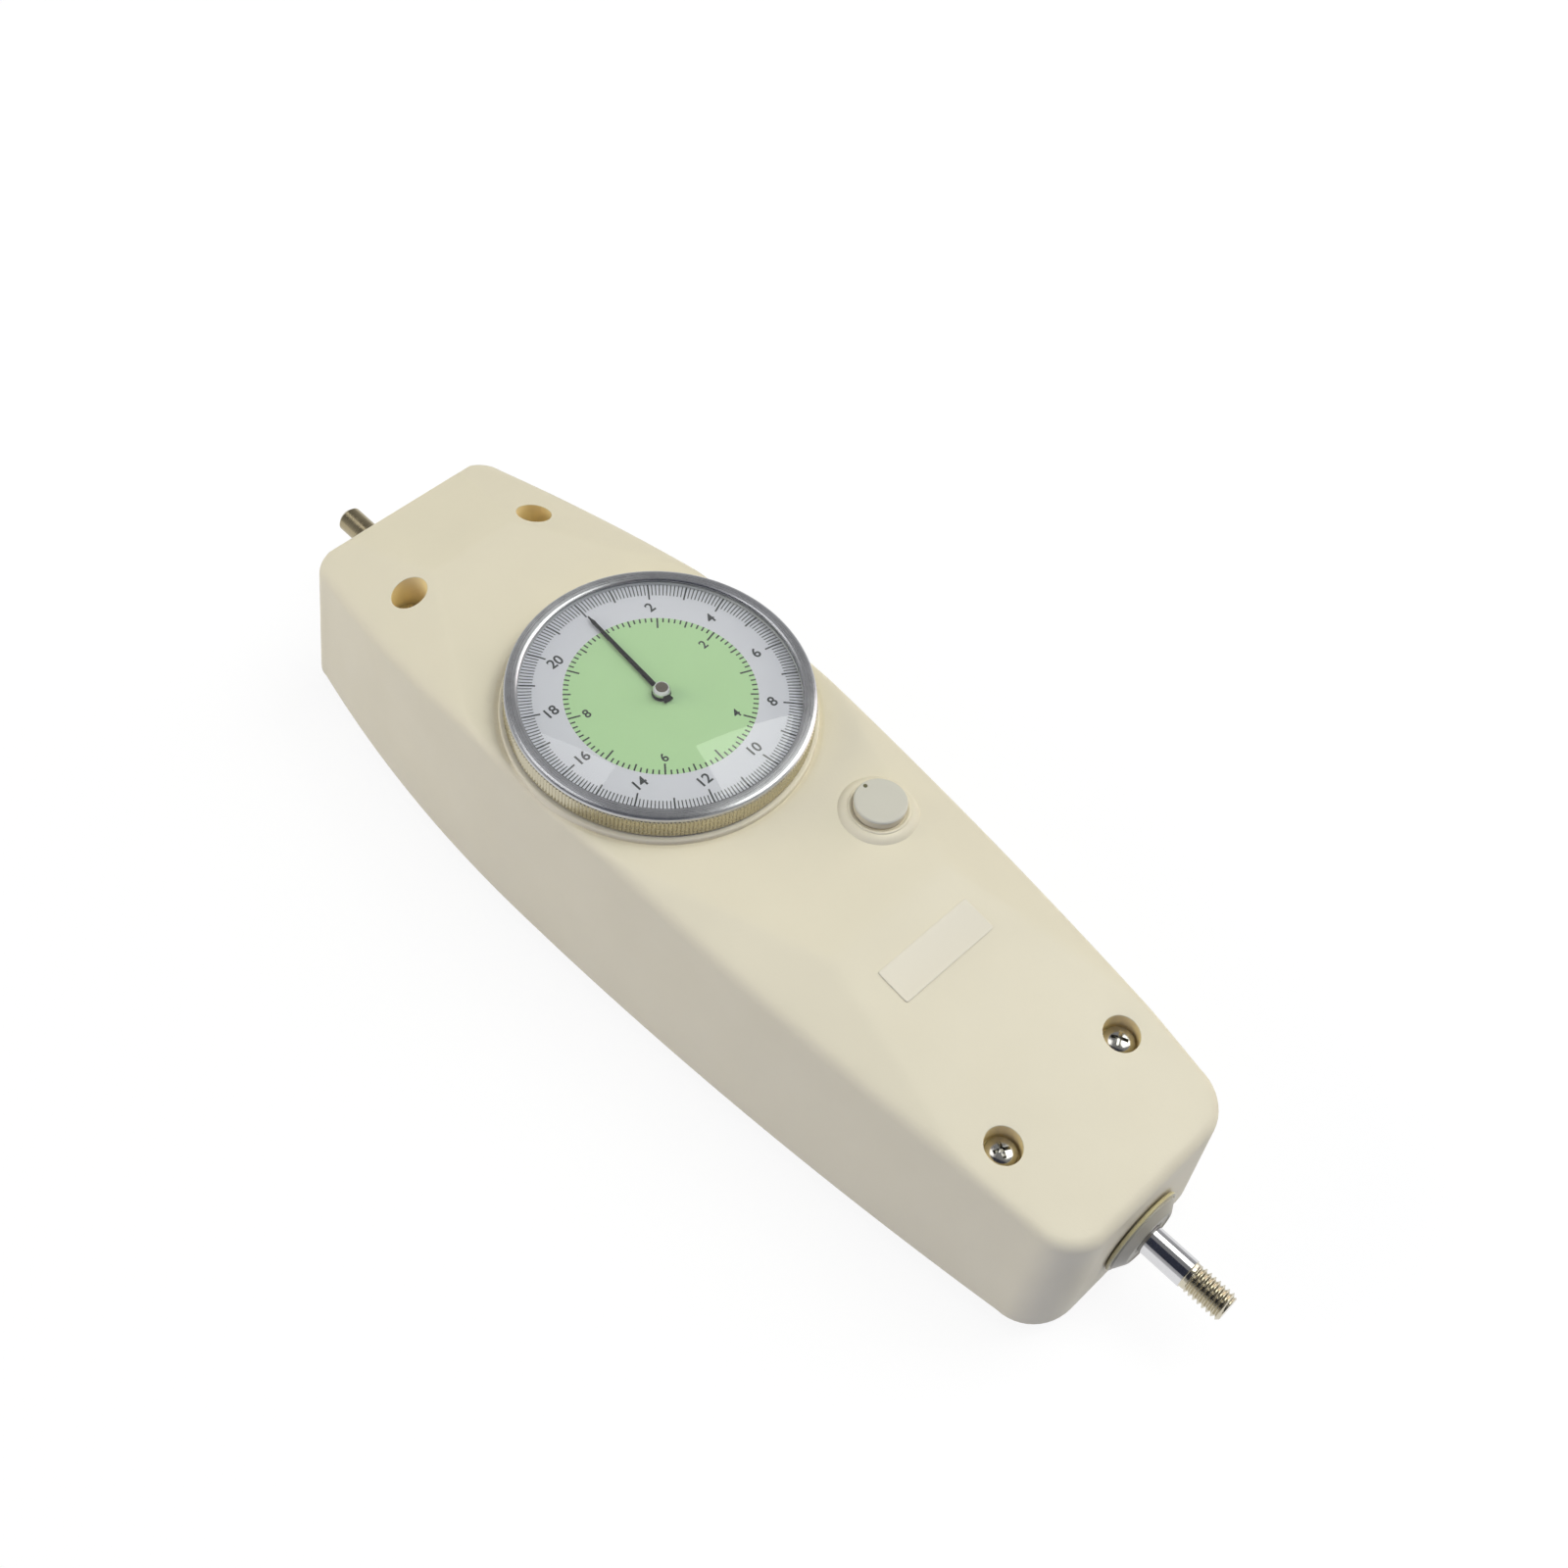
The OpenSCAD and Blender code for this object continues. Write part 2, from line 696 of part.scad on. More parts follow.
module collar_pin() {
    color([0.6, 0.6, 0.62])
    translate([spring_collar_x, 0, shaft_z + rod_r + run_gap])
        cylinder(r = pin_r, h = spring_seat_r - rod_r + slice);
}
rear_ring_x = rear_block_x - travel - seat_gap - stop_t;
front_ring_x = rear_block_x + block_l + bush_flange_t + travel + seat_gap;
module stop_rings() {
    color([0.45, 0.46, 0.48])
    for (x = [rear_ring_x, front_ring_x])
        along_rod(x) tube(stop_r, rod_r + run_gap, stop_t);
}
clamp_half_w = 6.3;
clamp_half_h = 4.1;
rack_w = 3.2;
rack_back_y = rack_y + rack_w;
rack_teeth = 22;
rack_pitch = rack_module * PI;
rack_l = rack_teeth * rack_pitch;
leg_l = 8;
leg_t = 2.4;
slot_w = 0.8;
module rack_clamp() {
    color([0.75, 0.62, 0.36])
    difference() {
        translate([clamp_x0, -clamp_half_w, shaft_z - clamp_half_h])
            cube([clamp_l, clamp_half_w + hub_r + slot_w, 2 * clamp_half_h]);
        along_rod(clamp_x0 - cut) cylinder(r = rod_r + run_gap, h = clamp_l + 2 * cut);
        for (s = [-1, 1])
            translate([clamp_x0 + clamp_l / 2 + s * clamp_l / 4, rack_back_y - leg_t / 2, shaft_z])
                cylinder(r = rack_screw_r + run_gap, h = clamp_half_h + cut);
    }
}
rack_screw_r = 0.6;
rack_tooth_half = rack_pitch / 4 - tooth_play / 2;
rack_root_half = rack_tooth_half + root_half_share * rack_pitch;
rack_tip_half = rack_tooth_half - tip_half_share * rack_pitch;
rack_points = concat(
    [[-rack_l / 2, rack_back_y]],
    [
        for (i = [0:rack_teeth - 1], k = [0:3])
            let (
                c = (i - (rack_teeth - 1) / 2) * rack_pitch,
                tip = k == 1 || k == 2,
                side = k < 2 ? -1 : 1,
                half = tip ? rack_tip_half : rack_root_half
            )
            [c + side * half, rack_y + (tip ? -tip_share : root_share) * rack_module]
    ],
    [[rack_l / 2, rack_back_y]]
);
module rack() {
    leg_z = shaft_z + clamp_half_h;
    color([0.68, 0.69, 0.71])
    difference() {
        union() {
            translate([transfer_x, 0, rack_z]) linear_extrude(height = rack_h) polygon(rack_points);
            translate([clamp_x0 + clamp_l / 2 - leg_l / 2, rack_back_y - leg_t, leg_z])
                cube([leg_l, leg_t, rack_z - leg_z + slice]);
        }
        for (s = [-1, 1])
            translate([clamp_x0 + clamp_l / 2 + s * clamp_l / 4, rack_back_y - leg_t / 2, leg_z - cut])
                cylinder(r = rack_screw_r + run_gap, h = rack_z + rack_h);
    }
}
module rack_screws() {
    rack_head_r = 1.1;
    rack_head_h = 0.8;
    color([0.7, 0.7, 0.72])
    for (s = [-1, 1])
        translate([
            clamp_x0 + clamp_l / 2 + s * clamp_l / 4,
            rack_back_y - leg_t / 2,
            rack_z + rack_h + run_gap
        ])
            pan_screw(rack_head_r, rack_head_h, rack_screw_r, rack_z + rack_h - shaft_z - move_gap);
}

// Measuring springs: a helix of round wire between a guide block and the collar
spring_sides = 6;
rings_per_curl = 8;
spring_gap = run_gap + seat_gap;
collar_face = spring_seat_t / 2;
front_spring_x = spring_collar_x + collar_face + spring_gap;
front_spring_l = front_block_x - bush_flange_t - spring_gap - front_spring_x;
rear_spring_x = middle_block_x + block_l + bush_flange_t + spring_gap;
rear_spring_l = spring_collar_x - collar_face - spring_gap - rear_spring_x;
function helix_point(t, l) =
    let (a = 360 * curls * t) [coil_r * cos(a), coil_r * sin(a), wire_d / 2 + (l - wire_d) * t];
function spring_points(l) = [
    for (i = [0:curls * rings_per_curl], k = [0:spring_sides - 1])
        let (
            t = i / (curls * rings_per_curl),
            a = 360 * curls * t,
            c = helix_point(t, l),
            b = 360 * (k + 0.5) / spring_sides
        )
        c + wire_d / 2 * [cos(b) * cos(a), cos(b) * sin(a), sin(b)]
];
function spring_faces() =
    let (n = spring_sides, m = curls * rings_per_curl)
    concat(
        [for (k = [1:n - 2]) [0, k, k + 1]],
        [for (k = [1:n - 2]) [m * n, m * n + k + 1, m * n + k]],
        [
            for (i = [0:m - 1], k = [0:n - 1], h = [0, 1])
                let (a = i * n + k, b = i * n + (k + 1) % n)
                h == 0 ? [a, a + n, b] : [b, a + n, b + n]
        ]
    );
module measuring_spring(l) {
    polyhedron(points = spring_points(l), faces = spring_faces());
}
function least_gap(l) = min([
    for (i = [0:(curls - 1) * rings_per_curl])
        let (t = i / (curls * rings_per_curl))
        norm(helix_point(t + 1 / curls, l) - helix_point(t, l)) - wire_d
]);
echo(least_gap_in_a_spring = min(least_gap(front_spring_l), least_gap(rear_spring_l)));
module front_spring() {
    color([0.55, 0.57, 0.6])
    along_rod(front_spring_x) measuring_spring(front_spring_l);
}
module rear_spring() {
    color([0.55, 0.57, 0.6])
    along_rod(rear_spring_x) measuring_spring(rear_spring_l);
}

// Movement plates and pillars
plate_back = -32;
plate_front = 23;
plate_half_w = 19;
plate_corner_r = 3;
module movement_plate(z) {
    translate([0, 0, z])
        linear_extrude(height = plate_t)
            difference() {
                union() {
                    translate([plate_back + plate_corner_r, -plate_half_w])
                        square([plate_front - plate_back - 2 * plate_corner_r, 2 * plate_half_w]);
                    translate([plate_back, -plate_half_w + plate_corner_r])
                        square([plate_front - plate_back, 2 * plate_half_w - 2 * plate_corner_r]);
                    for (x = [plate_back + plate_corner_r, plate_front - plate_corner_r], s = [-1, 1])
                        translate([x, s * (plate_half_w - plate_corner_r)])
                            circle(r = plate_corner_r, $fn = 32);
                }
                for (p = pillar_spots)
                    translate([p.x, p.y]) circle(r = chassis_screw_r + run_gap, $fn = 32);
                circle(r = bearing_r + run_gap, $fn = 32);
                translate([transfer_x, transfer_y]) circle(r = bearing_r + run_gap, $fn = 32);
            }
}
bearing_r = 1.8;
slot_play = 0.7;
module base_plate() {
    slot_x0 = clamp_x0 + clamp_l / 2 - leg_l / 2 - travel - slot_play;
    color([0.8, 0.68, 0.4])
    difference() {
        movement_plate(base_z);
        translate([slot_x0, rack_back_y - leg_t - slot_play, base_z - cut])
            cube([leg_l + 2 * travel + 2 * slot_play, leg_t + 2 * slot_play, plate_t + 2 * cut]);
    }
}
module top_plate() {
    color([0.8, 0.68, 0.4])
    difference() {
        movement_plate(top_plate_z);
        for (a = cup_post_angles)
            translate([cup_post_d * cos(a), cup_post_d * sin(a), top_plate_z - cut])
                cylinder(r = post_pin_r + run_gap, h = plate_t + 2 * cut);
    }
}
pillar_bore_l = 5;
module lower_pillars() {
    color([0.75, 0.62, 0.36])
    for (p = pillar_spots)
        difference() {
            union() {
                translate([p.x, p.y, chassis_z]) cylinder(r = pillar_spigot_r, h = chassis_t + slice);
                translate([p.x, p.y, chassis_top]) cylinder(r = pillar_r, h = base_z - chassis_top);
            }
            translate([p.x, p.y, base_z - pillar_bore_l - move_gap])
                cylinder(r = chassis_screw_r + run_gap, h = pillar_bore_l + 2 * cut);
        }
}
module upper_pillars() {
    color([0.75, 0.62, 0.36])
    for (p = pillar_spots)
        translate([p.x, p.y, base_top])
            tube(pillar_r, chassis_screw_r + run_gap, top_plate_z - base_top);
}
module pillar_screws() {
    pillar_head_r = 2;
    pillar_head_h = 1.2;
    color([0.7, 0.7, 0.72])
    for (p = pillar_spots)
        translate([p.x, p.y, top_plate_top + run_gap])
            pan_screw(pillar_head_r, pillar_head_h, chassis_screw_r, top_plate_top - base_z + pillar_bore_l);
}
arbor_r = 1;
module arbor_bearings() {
    color([0.78, 0.2, 0.25])
    for (z = [base_z, top_plate_z], p = [[0, 0], [transfer_x, transfer_y]])
        translate([p.x, p.y, z]) tube(bearing_r, arbor_r + run_gap, plate_t);
}

// Gear train: rack pinion and transfer gear on one arbor, centre pinion on the pointer's arbor
pinion_h = 3;
pinion_z = rack_z + (rack_h - pinion_h) / 2;
module transfer_arbor() {
    color([0.72, 0.73, 0.75])
    translate([transfer_x, transfer_y, base_z]) cylinder(r = arbor_r, h = top_plate_top - base_z);
}
module rack_pinion() {
    color([0.82, 0.7, 0.42])
    translate([transfer_x, transfer_y, pinion_z])
        rotate([0, 0, 90]) gear(pinion_teeth, rack_module, pinion_h, arbor_r + run_gap);
}
module transfer_gear() {
    color([0.82, 0.7, 0.42])
    translate([transfer_x, transfer_y, gear_z])
        rotate([0, 0, train_angle]) gear(gear_teeth, train_module, gear_t, arbor_r + run_gap);
}
centre_over = 0.4;
module centre_pinion() {
    color([0.72, 0.73, 0.75])
    translate([0, 0, gear_z - centre_over])
        rotate([0, 0, train_angle + 180 + 180 / centre_teeth])
            gear(centre_teeth, train_module, gear_t + 2 * centre_over, arbor_r + run_gap);
}
module centre_arbor() {
    color([0.72, 0.73, 0.75])
    translate([0, 0, base_z]) cylinder(r = arbor_r, h = hub_top - base_z - slice);
}
brake_r = 6;
module brake_wheel() {
    color([0.8, 0.68, 0.4])
    translate([0, 0, brake_z]) tube(brake_r, arbor_r + run_gap, brake_t);
}

// Hairspring: a flat spiral from the collet to a stud on the top plate
collet_r = 1.9;
collet_h = 1.6;
spiral_turns = 4;
spiral_out = 8;
ribbon_t = 0.25;
spiral_steps = 24;
stud_r = 0.9;
spiral_in = collet_r + run_gap + fit_gap;
function spiral_side(d) = [
    for (i = [0:spiral_turns * spiral_steps])
        let (
            t = i / (spiral_turns * spiral_steps),
            a = 360 * spiral_turns * t,
            r = spiral_in + (spiral_out - spiral_in) * t + d
        )
        [r * cos(a), r * sin(a)]
];
module hairspring() {
    inner = spiral_side(0);
    outer = spiral_side(ribbon_t);
    color([0.35, 0.4, 0.55])
    translate([0, 0, spiral_z])
        linear_extrude(height = spiral_t)
            polygon(concat(inner, [for (i = [len(outer) - 1:-1:0]) outer[i]]));
}
module hairspring_stud() {
    color([0.75, 0.62, 0.36])
    translate([spiral_out + ribbon_t + stud_r, 0, top_plate_top])
        cylinder(r = stud_r, h = spiral_z + spiral_t - top_plate_top + slice);
}
module hairspring_collet() {
    color([0.8, 0.68, 0.4])
    translate([0, 0, spiral_z - move_gap]) tube(collet_r, arbor_r + run_gap, collet_h);
}

// Dial cup, bezel, crystal and dial
post_pin_r = 1;
module cup_posts() {
    color([0.75, 0.62, 0.36])
    for (a = cup_post_angles)
        translate([cup_post_d * cos(a), cup_post_d * sin(a), top_plate_top])
            difference() {
                cylinder(r = pillar_r, h = cup_z - top_plate_top);
                translate([0, 0, -cut]) cylinder(r = post_pin_r + run_gap, h = cup_z);
            }
}
module cup_screws() {
    cup_head_r = 1.9;
    cup_head_h = 1.1;
    color([0.7, 0.7, 0.72])
    for (a = cup_post_angles)
        translate([cup_post_d * cos(a), cup_post_d * sin(a), cup_z + cup_t + run_gap])
            pan_screw(cup_head_r, cup_head_h, post_pin_r, cup_z + cup_t - top_plate_z);
}
clip_drop = 2.5;
groove_z = dial_z - clip_drop;
clip_t = 0.4;
clip_play = 0.1;
groove_depth = 0.7;
groove_r = cup_r - groove_depth;
clip_in_r = groove_r + clip_play;
clip_reach = 0.8;
clip_out_r = cup_r + clip_reach;
bezel_groove_r = clip_out_r + clip_play;
bezel_foot = dial_z - bezel_drop;
module dial_cup() {
    cup_wall_t = 0.9;
    cup_bore = groove_r - cup_wall_t;
    arbor_hole = 3;
    color([0.7, 0.72, 0.74])
    difference() {
        translate([0, 0, cup_z]) cylinder(r = cup_r, h = cup_wall_h, $fn = 96);
        translate([0, 0, cup_z + cup_t]) cylinder(r = cup_bore, h = cup_wall_h, $fn = 96);
        translate([0, 0, cup_z - cut]) cylinder(r = arbor_hole, h = cup_t + 2 * cut);
        for (a = cup_post_angles)
            translate([cup_post_d * cos(a), cup_post_d * sin(a), cup_z - cut])
                cylinder(r = post_pin_r + run_gap, h = cup_t + 2 * cut);
        translate([0, 0, groove_z - clip_play]) tube(cup_r + cut, groove_r, clip_t + 2 * clip_play, $fn = 96);
    }
}
module bezel_clip() {
    color([0.6, 0.61, 0.64])
    translate([0, 0, groove_z]) tube(clip_out_r, clip_in_r, clip_t, $fn = 96);
}
dial_gap = 0.15;
rim_r = dial_r + dial_gap;
shoulder_drop = 1.1;
shoulder_in = 0.2;
module bezel() {
    rim_z = dial_z + bezel_top;
    shoulder_z = rim_z - shoulder_drop;
    dial_seat = dial_z - dial_t - seat_gap / 3;
    color([0.75, 0.76, 0.78])
    rotate_extrude($fn = 96)
        polygon([
            [bezel_bore, bezel_foot],
            [bezel_r, bezel_foot],
            [bezel_r, shoulder_z],
            [bezel_r - shoulder_in, shoulder_z + shoulder_in],
            [bezel_r - shoulder_in, rim_z - shoulder_in / 2],
            [bezel_r - 2 * shoulder_in, rim_z],
            [lip_r + shoulder_in, rim_z],
            [lip_r, rim_z - bezel_lip_t / 2],
            [lip_r, rim_z - bezel_lip_t],
            [rim_r, rim_z - bezel_lip_t],
            [rim_r, dial_seat],
            [bezel_bore, dial_seat],
            [bezel_bore, groove_z + clip_t + clip_play],
            [bezel_groove_r, groove_z + clip_t + clip_play],
            [bezel_groove_r, groove_z - clip_play],
            [bezel_bore, groove_z - clip_play]
        ]);
}
crystal_steps = 10;
crystal_r = dial_r;
dome_in = 0.74;
dome_edge = lip_r - dome_in;
dome_sphere_r = (pow(dome_edge, 2) + pow(dome_h, 2)) / (2 * dome_h);
function dome_z(r) = sqrt(pow(dome_sphere_r, 2) - pow(r, 2)) - dome_sphere_r + dome_h;
module crystal() {
    foot = crystal_edge_z;
    color([0.9, 0.95, 1, 0.25])
    rotate_extrude($fn = 96)
        polygon(concat(
            [[0, crystal_under_z]],
            [
                for (i = [1:crystal_steps])
                    let (r = dome_edge * i / crystal_steps)
                    [r, max(foot, crystal_under_z - dome_h + dome_z(r))]
            ],
            [[crystal_r, foot], [crystal_r, foot + crystal_edge_t], [dome_edge, foot + crystal_edge_t]],
            [
                for (i = [crystal_steps - 1:-1:0])
                    let (r = dome_edge * i / crystal_steps)
                    [r, foot + dome_z(r) + crystal_edge_t]
            ]
        ));
}
gasket_w = 0.7;
module crystal_gasket() {
    color([0.82, 0.83, 0.86])
    translate([0, 0, dial_z + run_gap])
        tube(dial_r, dial_r - gasket_w, crystal_edge_z - dial_z - 2 * run_gap, $fn = 96);
}
dial_hole_r = 1.6;
module dial_plate() {
    color([0.83, 0.85, 0.88])
    translate([0, 0, dial_z - dial_t]) tube(dial_r, dial_hole_r, dial_t, $fn = 96);
}

// Pointer and its hub
pointer_hub_r = 1.7;
pointer_tail = 2.4;
root_w = 1;
tip_w = 0.3;
spade_share = 0.93;
spade_w = 0.75;
module pointer() {
    ring_hole = arbor_r + run_gap;
    spade_x = pointer_l * spade_share;
    color([0.05, 0.05, 0.06])
    translate([0, 0, pointer_z])
        rotate([0, 0, zero_angle])
            difference() {
                linear_extrude(height = pointer_t)
                    union() {
                        circle(r = pointer_hub_r + fit_gap, $fn = 32);
                        polygon([
                            [-pointer_tail, -root_w],
                            [0, -root_w / 2],
                            [spade_x - spade_w, -root_w / 3],
                            [spade_x, -spade_w / 2],
                            [spade_x + spade_w, -tip_w / 2],
                            [pointer_l, -tip_w / 2],
                            [pointer_l, tip_w / 2],
                            [spade_x + spade_w, tip_w / 2],
                            [spade_x, spade_w / 2],
                            [spade_x - spade_w, root_w / 3],
                            [0, root_w / 2],
                            [-pointer_tail, root_w]
                        ]);
                    }
                translate([0, 0, -cut]) cylinder(r = ring_hole, h = pointer_t + 2 * cut);
            }
}
module pointer_hub() {
    foot = pointer_z + pointer_t + run_gap;
    color([0.7, 0.66, 0.6])
    translate([0, 0, foot])
        difference() {
            cylinder(r = pointer_hub_r, h = hub_top - foot);
            translate([0, 0, -cut]) cylinder(r = arbor_r + run_gap, h = hub_top - slice - foot + cut + run_gap);
        }
}

// Knob, spindle, cam and the hold lever that it moves
knob_top = plateau_z + knob_h;
cap_t = 0.8;
cap_gap = 0.05;
skirt_in = 0.2;
knob_flange_t = 0.5;
knob_foot = plateau_z + knob_boss_h - knob_well_h + seat_gap + knob_flange_t;
module knob() {
    color([0.83, 0.81, 0.72])
    translate([knob_x, knob_y, knob_foot])
        difference() {
            cylinder(r = knob_r - skirt_in, h = knob_top - cap_t - cap_gap - knob_foot);
            translate([0, 0, -cut]) cylinder(r = spindle_r + run_gap, h = knob_h);
        }
}
module knob_cap() {
    bevel = 0.35;
    color([0.78, 0.77, 0.72])
    translate([knob_x, knob_y, knob_top - cap_t]) {
        cylinder(r = knob_r, h = cap_t - bevel);
        translate([0, 0, cap_t - bevel]) cylinder(r1 = knob_r, r2 = knob_r - bevel, h = bevel);
    }
}
module knob_bush() {
    flange_z = plateau_z + knob_boss_h - knob_well_h + run_gap;
    color([0.78, 0.66, 0.4])
    translate([knob_x, knob_y, 0])
        difference() {
            union() {
                translate([0, 0, flange_z - knob_bush_h]) cylinder(r = knob_bush_r, h = knob_bush_h + slice);
                translate([0, 0, flange_z]) cylinder(r = knob_bush_flange_r, h = knob_flange_t);
            }
            translate([0, 0, flange_z - knob_bush_h - cut])
                cylinder(r = spindle_r + run_gap, h = knob_bush_h + knob_flange_t + 2 * cut);
        }
}
cam_r = 3.4;
cam_throw = 1.2;
cam_over = 0.3;
cam_h = brake_t + 2 * cam_over;
cam_z = brake_z - cam_over;
module knob_spindle() {
    spindle_top = knob_top - cap_t - cap_gap;
    color([0.74, 0.75, 0.77])
    translate([knob_x, knob_y, cam_z - move_gap]) cylinder(r = spindle_r, h = spindle_top - cam_z + move_gap - run_gap);
}
module knob_cam() {
    color([0.85, 0.84, 0.8])
    translate([knob_x, knob_y, cam_z])
        difference() {
            translate([0, -cam_throw, 0]) cylinder(r = cam_r, h = cam_h);
            translate([0, 0, -cut]) cylinder(r = spindle_r + run_gap, h = cam_h + 2 * cut);
        }
}
lever_hub_r = 3.8;
arm_w = 2.4;
tab_y = knob_y - cam_throw + cam_r + seat_gap;
pad_gap = 1;
pad_t = 1.2;
pad_l = 4;
pad_x = 1.5;
module hold_lever() {
    arm_y = tab_y + arm_w / 2;
    brake_y = brake_r + pad_gap + pad_t + arm_w / 2;
    color([0.66, 0.67, 0.7])
    translate([0, 0, brake_z])
        difference() {
            linear_extrude(height = brake_t)
                union() {
                    translate(lever_pivot) circle(r = lever_hub_r, $fn = 32);
                    translate([knob_x - knob_r, tab_y]) square([2 * knob_r, arm_w]);
                    hull() {
                        translate(lever_pivot) circle(r = arm_w / 2, $fn = 32);
                        translate([knob_x - knob_r, arm_y]) circle(r = arm_w / 2, $fn = 32);
                    }
                    hull() {
                        translate(lever_pivot) circle(r = arm_w / 2, $fn = 32);
                        translate([pad_x, brake_y]) circle(r = arm_w / 2, $fn = 32);
                    }
                    translate([pad_x - pad_l / 2, brake_y - arm_w / 2]) square([pad_l, arm_w]);
                }
            translate([lever_pivot.x, lever_pivot.y, -cut])
                cylinder(r = pillar_r + run_gap, h = brake_t + 2 * cut);
        }
}
module brake_pad() {
    color([0.35, 0.22, 0.14])
    translate([pad_x - pad_l / 2, brake_r + pad_gap, brake_z]) cube([pad_l, pad_t, brake_t]);
}

front_case();
back_cover();
case_screws();
stand_inserts();
label_plate();
front_bush();
rear_bush();
chassis_plate();
chassis_screws();
block_screws();
front_guide_block();
middle_guide_block();
rear_guide_block();
guide_bushes();
main_rod();
spring_collar();
collar_pin();
stop_rings();
rack_clamp();
rack();
rack_screws();
front_spring();
rear_spring();
base_plate();
top_plate();
lower_pillars();
upper_pillars();
pillar_screws();
arbor_bearings();
transfer_arbor();
rack_pinion();
transfer_gear();
centre_pinion();
centre_arbor();
brake_wheel();
hairspring();
hairspring_stud();
hairspring_collet();
cup_posts();
cup_screws();
dial_cup();
bezel_clip();
bezel();
crystal();
crystal_gasket();
dial_plate();
pointer();
pointer_hub();
knob();
knob_cap();
knob_bush();
knob_spindle();
knob_cam();
hold_lever();
brake_pad();
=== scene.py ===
"""Looks of the dial force gauge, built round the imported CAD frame.

Lengths are in millimetres here and become metres when a mesh is made. The frame's origin is on
the back face under the dial's axis, +X runs along the rod to its threaded end, and +Z comes out
of the dial.
"""

import json
import math

import bmesh
import bpy
import numpy as np
from mathutils import Matrix, Vector
from mathutils.geometry import delaunay_2d_cdt


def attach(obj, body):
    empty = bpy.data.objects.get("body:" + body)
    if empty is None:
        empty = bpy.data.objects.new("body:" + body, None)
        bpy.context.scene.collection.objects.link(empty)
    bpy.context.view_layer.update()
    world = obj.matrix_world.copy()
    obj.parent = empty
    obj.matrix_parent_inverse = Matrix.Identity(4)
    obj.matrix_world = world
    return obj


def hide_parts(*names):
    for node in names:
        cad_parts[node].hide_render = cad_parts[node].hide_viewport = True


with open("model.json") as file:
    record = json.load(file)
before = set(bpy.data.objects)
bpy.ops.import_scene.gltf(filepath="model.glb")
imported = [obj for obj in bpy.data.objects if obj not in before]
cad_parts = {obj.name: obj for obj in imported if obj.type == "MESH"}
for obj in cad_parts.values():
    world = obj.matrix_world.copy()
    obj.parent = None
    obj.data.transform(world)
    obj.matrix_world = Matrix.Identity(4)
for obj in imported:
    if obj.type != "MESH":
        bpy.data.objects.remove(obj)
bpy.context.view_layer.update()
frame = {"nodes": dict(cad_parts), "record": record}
MM = 0.001
AXIS_Z = 16.5  # height of the rod's axis
WELD = 0.004 * MM  # vertices nearer than this become one

# Mesh helpers


def add_object(name, data):
    made = bpy.data.objects.new(name, data)
    bpy.context.collection.objects.link(made)
    return made


class Build:
    """Collects vertices in millimetres, faces, and each face's material number."""

    def __init__(self):
        self.verts = []
        self.faces = []
        self.mats = []

    def add(self, verts, faces, mat=0):
        """Adds faces with one material number, or with a list of one for each face."""
        base = len(self.verts)
        self.verts += [tuple(v) for v in verts]
        self.faces += [[base + k for k in face] for face in faces]
        self.mats += mat if isinstance(mat, list) else [mat] * len(faces)

    def add_rows(self, rows, mat=0, flip=False, ends=False):
        """Bands of quads between closed rows of vertices, and with ends a face at either end."""
        count = len(rows[0])
        faces = []
        for k in range(len(rows) - 1):
            for i in range(count):
                j = (i + 1) % count
                face = [k * count + i, k * count + j, (k + 1) * count + j, (k + 1) * count + i]
                faces.append(face[::-1] if flip else face)
        if ends:
            last = (len(rows) - 1) * count
            faces += [list(range(count))[::-1], list(range(last, last + count))]
        self.add([v for row in rows for v in row], faces, mat)

    def add_plan(self, points, z, triangles, flip=False):
        """Triangles of plan points, each point at its own height."""
        if flip:
            triangles = triangles[:, ::-1]
        self.add(np.column_stack([points, z]).tolist(), triangles.tolist())

    def mesh(self, name, materials=()):
        mesh = bpy.data.meshes.new(name)
        mesh.from_pydata([(x * MM, y * MM, z * MM) for x, y, z in self.verts], [], self.faces)
        for material in materials:
            mesh.materials.append(material)
        mesh.polygons.foreach_set("material_index", self.mats)
        mesh.update()
        return mesh

    def make(self, name, materials, body, replaces=(), angle=35):
        """A visible piece that rides on a body, smooth up to the angle."""
        mesh = self.mesh(name, materials)
        smooth(mesh, angle)
        return dress(add_object(name, mesh), body, replaces)


def smooth(mesh, angle):
    mesh.shade_smooth()
    mesh.set_sharp_from_angle(angle=math.radians(angle))


def dress(piece, body, replaces=()):
    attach(piece, body)
    if replaces:
        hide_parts(*replaces)
    return piece


def fillet(points, radii, closed=False, steps=4):
    """A profile with its corners rounded: one radius for each point."""
    out = []
    count = len(points)
    for i, radius in enumerate(radii):
        here = Vector(points[i])
        if radius == 0 or (not closed and i in (0, count - 1)):
            out.append(tuple(here))
            continue
        to_last = Vector(points[i - 1]) - here
        to_next = Vector(points[(i + 1) % count]) - here
        half = to_last.angle(to_next) / 2
        reach = min(radius / math.tan(half), 0.49 * to_last.length, 0.49 * to_next.length)
        radius = reach * math.tan(half)
        middle = (to_last.normalized() + to_next.normalized()).normalized()
        centre = here + middle * (radius / math.sin(half))
        start = here + to_last.normalized() * reach - centre
        end = here + to_next.normalized() * reach - centre
        turn = math.atan2(start.x * end.y - start.y * end.x, start.dot(end))
        for k in range(steps + 1):
            a = turn * k / steps
            out.append((
                centre.x + start.x * math.cos(a) - start.y * math.sin(a),
                centre.y + start.x * math.sin(a) + start.y * math.cos(a),
            ))
    return out


def z_axis(x=0, y=0):
    """Where a lathe's point goes when it turns round an upright axis."""
    return lambda r, h, a: (x + r * math.cos(a), y + r * math.sin(a), h)


